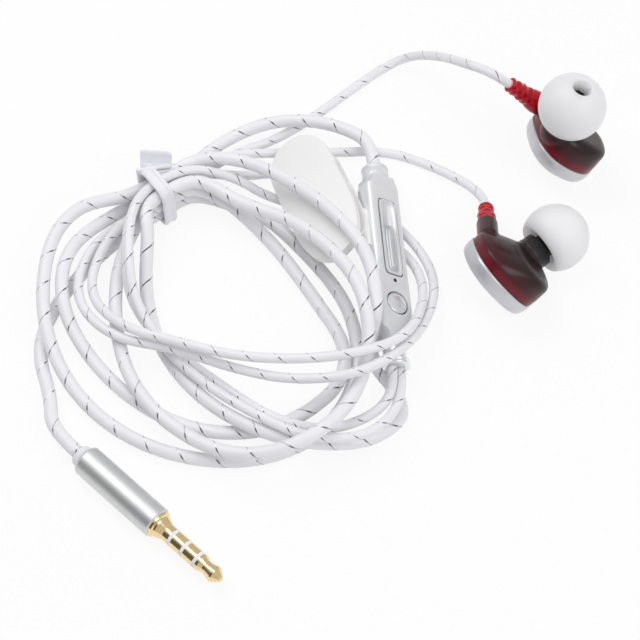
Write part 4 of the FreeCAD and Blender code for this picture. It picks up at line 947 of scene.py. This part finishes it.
def along_axis(g, given):
    """The surface's place along the axis that the group is given."""
    axis = g.add("ShaderNodeCombineXYZ")
    for key in "XYZ":
        g.join(given[key], axis.inputs[key])
    dot = g.add("ShaderNodeVectorMath", operation="DOT_PRODUCT")
    g.join(g.add("ShaderNodeTexCoord").outputs["Object"], dot.inputs[0])
    g.join(axis.outputs[0], dot.inputs[1])
    return dot.outputs["Value"]


def build_turned_lines():
    """Fine lines round an axis, as a lathe or a brush leaves them."""
    tree, g, given, made = group("turned_lines", [("X", 1.0), ("Y", 0.0), ("Z", 0.0),
                                                  ("Size mm", 0.15)], ["Shade", "Height"])
    lines = g.add("ShaderNodeTexNoise", noise_dimensions="1D")
    scale = g.math("DIVIDE", 1000.0, given["Size mm"])
    g.join(g.math("MULTIPLY", along_axis(g, given), scale), lines.inputs["W"])
    lines.inputs["Scale"].default_value = 1.0
    lines.inputs["Detail"].default_value = 2.0
    g.join(lines.outputs["Fac"], made["Shade"])
    g.join(lines.outputs["Fac"], made["Height"])
    return tree


def build_painted_red_glow():
    """Where red light is painted into the housing's colour, as if it showed through: by height
    above its cap, and in clouds.
    """
    tree, g, given, made = group("red_glow", [("X", 0.0), ("Y", 0.0), ("Z", 1000.0),
                                              ("Cap mm", 0.0)], ["Glow"])
    height = g.math("SUBTRACT", along_axis(g, given), given["Cap mm"])
    cloud = g.noise(g.add("ShaderNodeTexCoord").outputs["Object"], GLOW_CLOUD_SCALE, 1.0)
    narrow = g.math("MULTIPLY", g.band(height, *GLOW_NARROW), g.band(cloud, *GLOW_CLOUD))
    narrow = g.math("MULTIPLY", narrow, GLOW_NARROW_SHARE)
    glow = g.math("MULTIPLY_ADD", g.band(height, *GLOW_WIDE), GLOW_WIDE_SHARE, narrow)
    g.join(glow, made["Glow"])
    return tree


def place_group(g, tree, values):
    """The group in a material, with its sockets set; its outputs come back."""
    node = g.add("ShaderNodeGroup", node_tree=tree)
    for key, value in values.items():
        node.inputs[key].default_value = value
    return node.outputs


def skin_of(material):
    return material.node_tree.nodes["Principled BSDF"]


def finish_of(name, colour, roughness, metallic=0.0, coat=0.0):
    """A material with its Principled shader and the graph that feeds it."""
    material = bpy.data.materials.new(name)
    material.use_nodes = True
    skin = skin_of(material)
    skin.inputs["Base Color"].default_value = colour + (1,)
    skin.inputs["Roughness"].default_value = roughness
    skin.inputs["Metallic"].default_value = metallic
    if coat:
        skin.inputs["Coat Weight"].default_value = coat
        skin.inputs["Coat Roughness"].default_value = COAT_ROUGHNESS
    return material, Graph(material.node_tree), skin


def bump(g, skin, height, strength, depth):
    """Relief too fine to model, its depth in millimetres."""
    node = g.add("ShaderNodeBump")
    node.inputs["Strength"].default_value = strength
    node.inputs["Distance"].default_value = depth * MM
    g.join(height, node.inputs["Height"])
    g.join(node.outputs[0], skin.inputs["Normal"])


def grained(name, tree, dark, light, roughness, metallic=0.0, *, size, coat=0.0, depth=0.01,
            axis=None):
    """A finish whose colour, roughness and height follow a grain or turned lines."""
    material, g, skin = finish_of(name, light, roughness, metallic, coat)
    values = {"Size mm": size}
    if axis:
        values.update(zip("XYZ", axis))
    out = place_group(g, tree, values)
    g.join(g.mix(out["Shade"], dark, light), skin.inputs["Base Color"])
    rough = g.math("MULTIPLY_ADD", out["Shade"], GRAIN_SPREAD, roughness - GRAIN_SPREAD / 2)
    g.join(rough, skin.inputs["Roughness"])
    bump(g, skin, out["Height"], 0.5, depth)
    return material


def translucent(material, weight, reach):
    """Light passes into the surface and out again, some millimetres away."""
    skin = skin_of(material)
    skin.inputs["Subsurface Weight"].default_value = weight
    skin.inputs["Subsurface Radius"].default_value = (reach * MM, reach * MM, reach * MM)
    skin.inputs["Subsurface Scale"].default_value = 1.0


def cord_material(name, wound, pitch, width):
    """The sheath of a cord, with its thread's pitch and width in millimetres."""
    material, g, skin = finish_of(name, (0.9, 0.9, 0.93), SHEATH_ROUGHNESS)
    translucent(material, 0.25, 1.2)
    out = place_group(g, wound, {"Pitch": pitch, "Width": width})
    g.join(out["Colour"], skin.inputs["Base Color"])
    g.join(out["Roughness"], skin.inputs["Roughness"])
    bump(g, skin, out["Height"], 0.6, 0.04)
    return material


def painted_glow_shell(name, grain, glow, place):
    """Dark housing of translucent plastic, with a red glow painted into its colour in a band near
    its cap, where light would show through.
    """
    material, g, skin = finish_of(name, (0.02, 0.007, 0.007), 0.3, coat=0.08)
    skin.inputs["Specular IOR Level"].default_value = 0.35
    out = place_group(g, grain, {"Size mm": 2.5})
    up = place.col[2].to_3d()
    values = dict(zip("XYZ", up / MM))
    values["Cap mm"] = up.dot(place.translation)
    light = place_group(g, glow, values)["Glow"]
    base = g.mix(out["Shade"], (0.014, 0.005, 0.005), (0.026, 0.007, 0.008))
    # The painted red glow, mixed into the housing's colour.
    g.join(g.mix(light, base, (0.17, 0.003, 0.012)), skin.inputs["Base Color"])
    g.join(g.math("MULTIPLY_ADD", out["Shade"], 0.08, 0.28), skin.inputs["Roughness"])
    bump(g, skin, out["Height"], 0.5, 0.003)
    return material


def dress(material, *names):
    """Gives the material to CAD nodes and to the scene's own pieces."""
    for name in names:
        piece = nodes[name] if name in nodes else bpy.data.objects[name]
        piece.data.materials.clear()
        piece.data.materials.append(material)


def dress_all():
    """Each finish, and the pieces that have it."""
    wound = build_wound_sheath()
    grain = build_moulded_grain()
    lines = build_turned_lines()
    glow = build_painted_red_glow()
    plug_way = heading_of(PLUG_HEADING)

    dress(cord_material("main_sheath", wound, 7.0, 0.36), "main_cord")
    dress(cord_material("thin_sheath", wound, 6.3, 0.3), "left_cord_sheath",
          "right_cord_sheath")
    dress(grained("satin_aluminium", lines, (0.66, 0.67, 0.66), (0.78, 0.79, 0.78), 0.46, 0.9,
                  size=0.12, depth=0.004, axis=plug_way), "plug_barrel")
    dress(grained("plated_gold", lines, (0.84, 0.62, 0.31), (0.94, 0.76, 0.45), 0.14, 1.0,
                  size=0.3, depth=0.003, axis=plug_way),
          "plug_tip", "plug_ring_front", "plug_ring_rear", "plug_sleeve")
    dress(grained("insulating_white", grain, (0.84, 0.84, 0.83), (0.93, 0.93, 0.92), 0.4,
                  size=0.5), "plug_insulators")
    dress(grained("soft_white", grain, (0.84, 0.84, 0.88), (0.92, 0.92, 0.95), 0.42, size=0.6),
          "strap_skin", "plug_collar_skin")
    dress(grained("cream_white", grain, (0.94, 0.93, 0.91), (0.97, 0.965, 0.95), 0.3, size=1.5,
                  coat=0.2), "clip_base", "clip_jaw")
    dress(grained("silver_paint", grain, (0.78, 0.79, 0.8), (0.88, 0.89, 0.9), 0.36, 0.3,
                  size=0.1, depth=0.004), "remote_front_shell", "window_bed", "top_collar_skin")
    dress(grained("grey_silver_paint", grain, (0.68, 0.69, 0.71), (0.78, 0.79, 0.81), 0.38, 0.3,
                  size=0.1, depth=0.004), "remote_back_shell")
    dress(grained("pale_knob", grain, (0.6, 0.62, 0.64), (0.7, 0.72, 0.74), 0.32, 0.4, size=0.4),
          "slider_knob", "slider_track")
    dress(grained("grey_cap_paint", grain, (0.58, 0.58, 0.6), (0.68, 0.68, 0.7), 0.34, 0.4,
                  size=0.15, coat=0.3, depth=0.004), "left_cap_skin", "right_cap_skin")
    dress(painted_glow_shell("left_maroon_gloss", grain, glow, UPPER), "left_shell_skin")
    dress(painted_glow_shell("right_maroon_gloss", grain, glow, LOWER), "right_shell_skin")
    dress(grained("black_spout", grain, (0.008, 0.007, 0.007), (0.02, 0.016, 0.016), 0.4,
                  size=0.6, depth=0.004), "left_spout", "right_spout")
    silicone = grained("milky_silicone", grain, (0.94, 0.94, 0.925), (0.97, 0.97, 0.96), 0.42,
                       size=1.2)
    translucent(silicone, 0.9, 7.0)
    dress(silicone, "left_tip_dome", "right_tip_dome")
    crimson = grained("crimson_rubber", grain, (0.46, 0.002, 0.01), (0.58, 0.004, 0.018), 0.2,
                      size=2.0, depth=0.001)
    skin_of(crimson).inputs["Specular IOR Level"].default_value = 0.3
    dress(crimson, "left_relief_skin", "right_relief_skin")
    dress(grained("polished_silver", grain, (0.84, 0.85, 0.86), (0.92, 0.93, 0.94), 0.24, 0.7,
                  size=0.4, depth=0.003), "button_disc", "foot_collar_skin")
    # Painted shadow: a dark grey ring stands in for the shade in the seam round the window.
    dress(grained("seam_shadow_grey", grain, (0.16, 0.16, 0.165), (0.24, 0.24, 0.245), 0.4, 0.3,
                  size=0.4), "window_seam")
    dress(grained("fine_mesh", grain, (0.03, 0.01, 0.01), (0.14, 0.05, 0.05), 0.4, 0.5,
                  size=0.12, depth=0.05), "left_nozzle_mesh", "right_nozzle_mesh")
    dress(grained("spring_steel", grain, (0.45, 0.45, 0.47), (0.62, 0.62, 0.64), 0.3, 1.0,
                  size=0.3),
          "clip_pin", "spring_wire", "left_driver_magnet", "right_driver_magnet")
    dress(grained("dark_moulding", grain, (0.05, 0.05, 0.055), (0.12, 0.12, 0.13), 0.5, size=0.5),
          "plug_inner_mould", "slide_pot", "tact_switch", "left_driver_frame",
          "right_driver_frame")
    dress(grained("board_green", grain, (0.02, 0.16, 0.07), (0.03, 0.24, 0.1), 0.35, size=0.8),
          "control_board")
    dress(grained("amber_film", grain, (0.7, 0.6, 0.4), (0.82, 0.74, 0.52), 0.3, size=0.8),
          "left_driver_diaphragm", "right_driver_diaphragm")
    dress(grained("black_foam", grain, (0.03, 0.03, 0.03), (0.08, 0.08, 0.08), 0.8, size=0.3,
                  depth=0.05), "microphone", "mic_plug", "left_driver_seal", "right_driver_seal")


# ---- table and light

TABLE_HALF = 1200
TABLE_SHOWN_WHITE = 0.88
SKY_COLOUR = (0.97, 0.97, 1.0, 1)
SKY_STRENGTH = 0.63
# A dark card low on the left, which the polished metal mirrors.
CARD_WAY = heading_of(204, 28)
CARD_EDGE = (0.93, 2.0, 0.12)
CARD_DARKENS = -0.5
LAMPS_AIM = (-24, -10, 0)
# Each lamp's name, place, diameter and watts.
LAMPS = (("softbox_back_left", (-200, 160, 440), 340, 0.75),
         ("softbox_front_right", (220, -200, 380), 300, 0.5),
         ("small_lamp_left", (-150, -60, 420), 36, 0.05))


def white_when_seen(material, share):
    """Seen by the camera or in a reflection, the surface is white with part of its shadow."""
    g = Graph(material.node_tree)
    glow = g.add("ShaderNodeEmission")
    glow.inputs["Color"].default_value = (1, 1, 1, 1)
    glow.inputs["Strength"].default_value = 1.0
    seen = g.add("ShaderNodeLightPath")
    both = g.math("MAXIMUM", seen.outputs["Is Camera Ray"], seen.outputs["Is Glossy Ray"])
    blend = g.add("ShaderNodeMixShader")
    g.join(g.math("MULTIPLY", both, share), blend.inputs[0])
    g.join(skin_of(material).outputs[0], blend.inputs[1])
    g.join(glow.outputs[0], blend.inputs[2])
    g.join(blend.outputs[0], material.node_tree.nodes["Material Output"].inputs["Surface"])


def set_table():
    half = TABLE_HALF * MM
    mesh = bpy.data.meshes.new("table")
    mesh.from_pydata([(-half, -half, 0), (half, -half, 0), (half, half, 0), (-half, half, 0)],
                     [], [(0, 1, 2, 3)])
    table = link("table", mesh)
    material = finish_of("pale_table", (0.94, 0.94, 0.95), 0.7)[0]
    white_when_seen(material, TABLE_SHOWN_WHITE)
    mesh.materials.append(material)


def set_light():
    scene = bpy.context.scene
    scene.view_settings.view_transform = "Standard"
    world = bpy.data.worlds.new("studio")
    scene.world = world
    world.use_nodes = True
    g = Graph(world.node_tree)
    sky = world.node_tree.nodes["Background"]
    sky.inputs["Color"].default_value = SKY_COLOUR
    seen = g.add("ShaderNodeLightPath")
    toward = g.add("ShaderNodeVectorMath", operation="DOT_PRODUCT")
    g.join(g.add("ShaderNodeTexCoord").outputs["Generated"], toward.inputs[0])
    toward.inputs[1].default_value = CARD_WAY
    card = g.math("MULTIPLY_ADD", g.band(toward.outputs["Value"], *CARD_EDGE), CARD_DARKENS,
                  SKY_STRENGTH)
    g.join(g.math("MAXIMUM", seen.outputs["Is Camera Ray"], card), sky.inputs["Strength"])
    for name, place, size, power in LAMPS:
        lamp = bpy.data.lights.new(name, "AREA")
        lamp.shape = "DISK"
        lamp.size = size * MM
        lamp.energy = power
        aim(link(name, lamp), place, LAMPS_AIM)


place_camera()
lay_cords(make_strap(), make_plug_collar())
make_bud("left", UPPER, UPPER_RELIEF_FOOT)
make_bud("right", LOWER, LOWER_RELIEF_FOOT)
make_end_collar("top_collar_skin", 1, TOP_PROFILE, "remote_top_collar")
make_slider()
make_window()
make_button()
make_end_collar("foot_collar_skin", -1, FOOT_PROFILE, "remote_bottom_collar")
make_mic_plug()
make_spring()
dress_all()
set_table()
set_light()
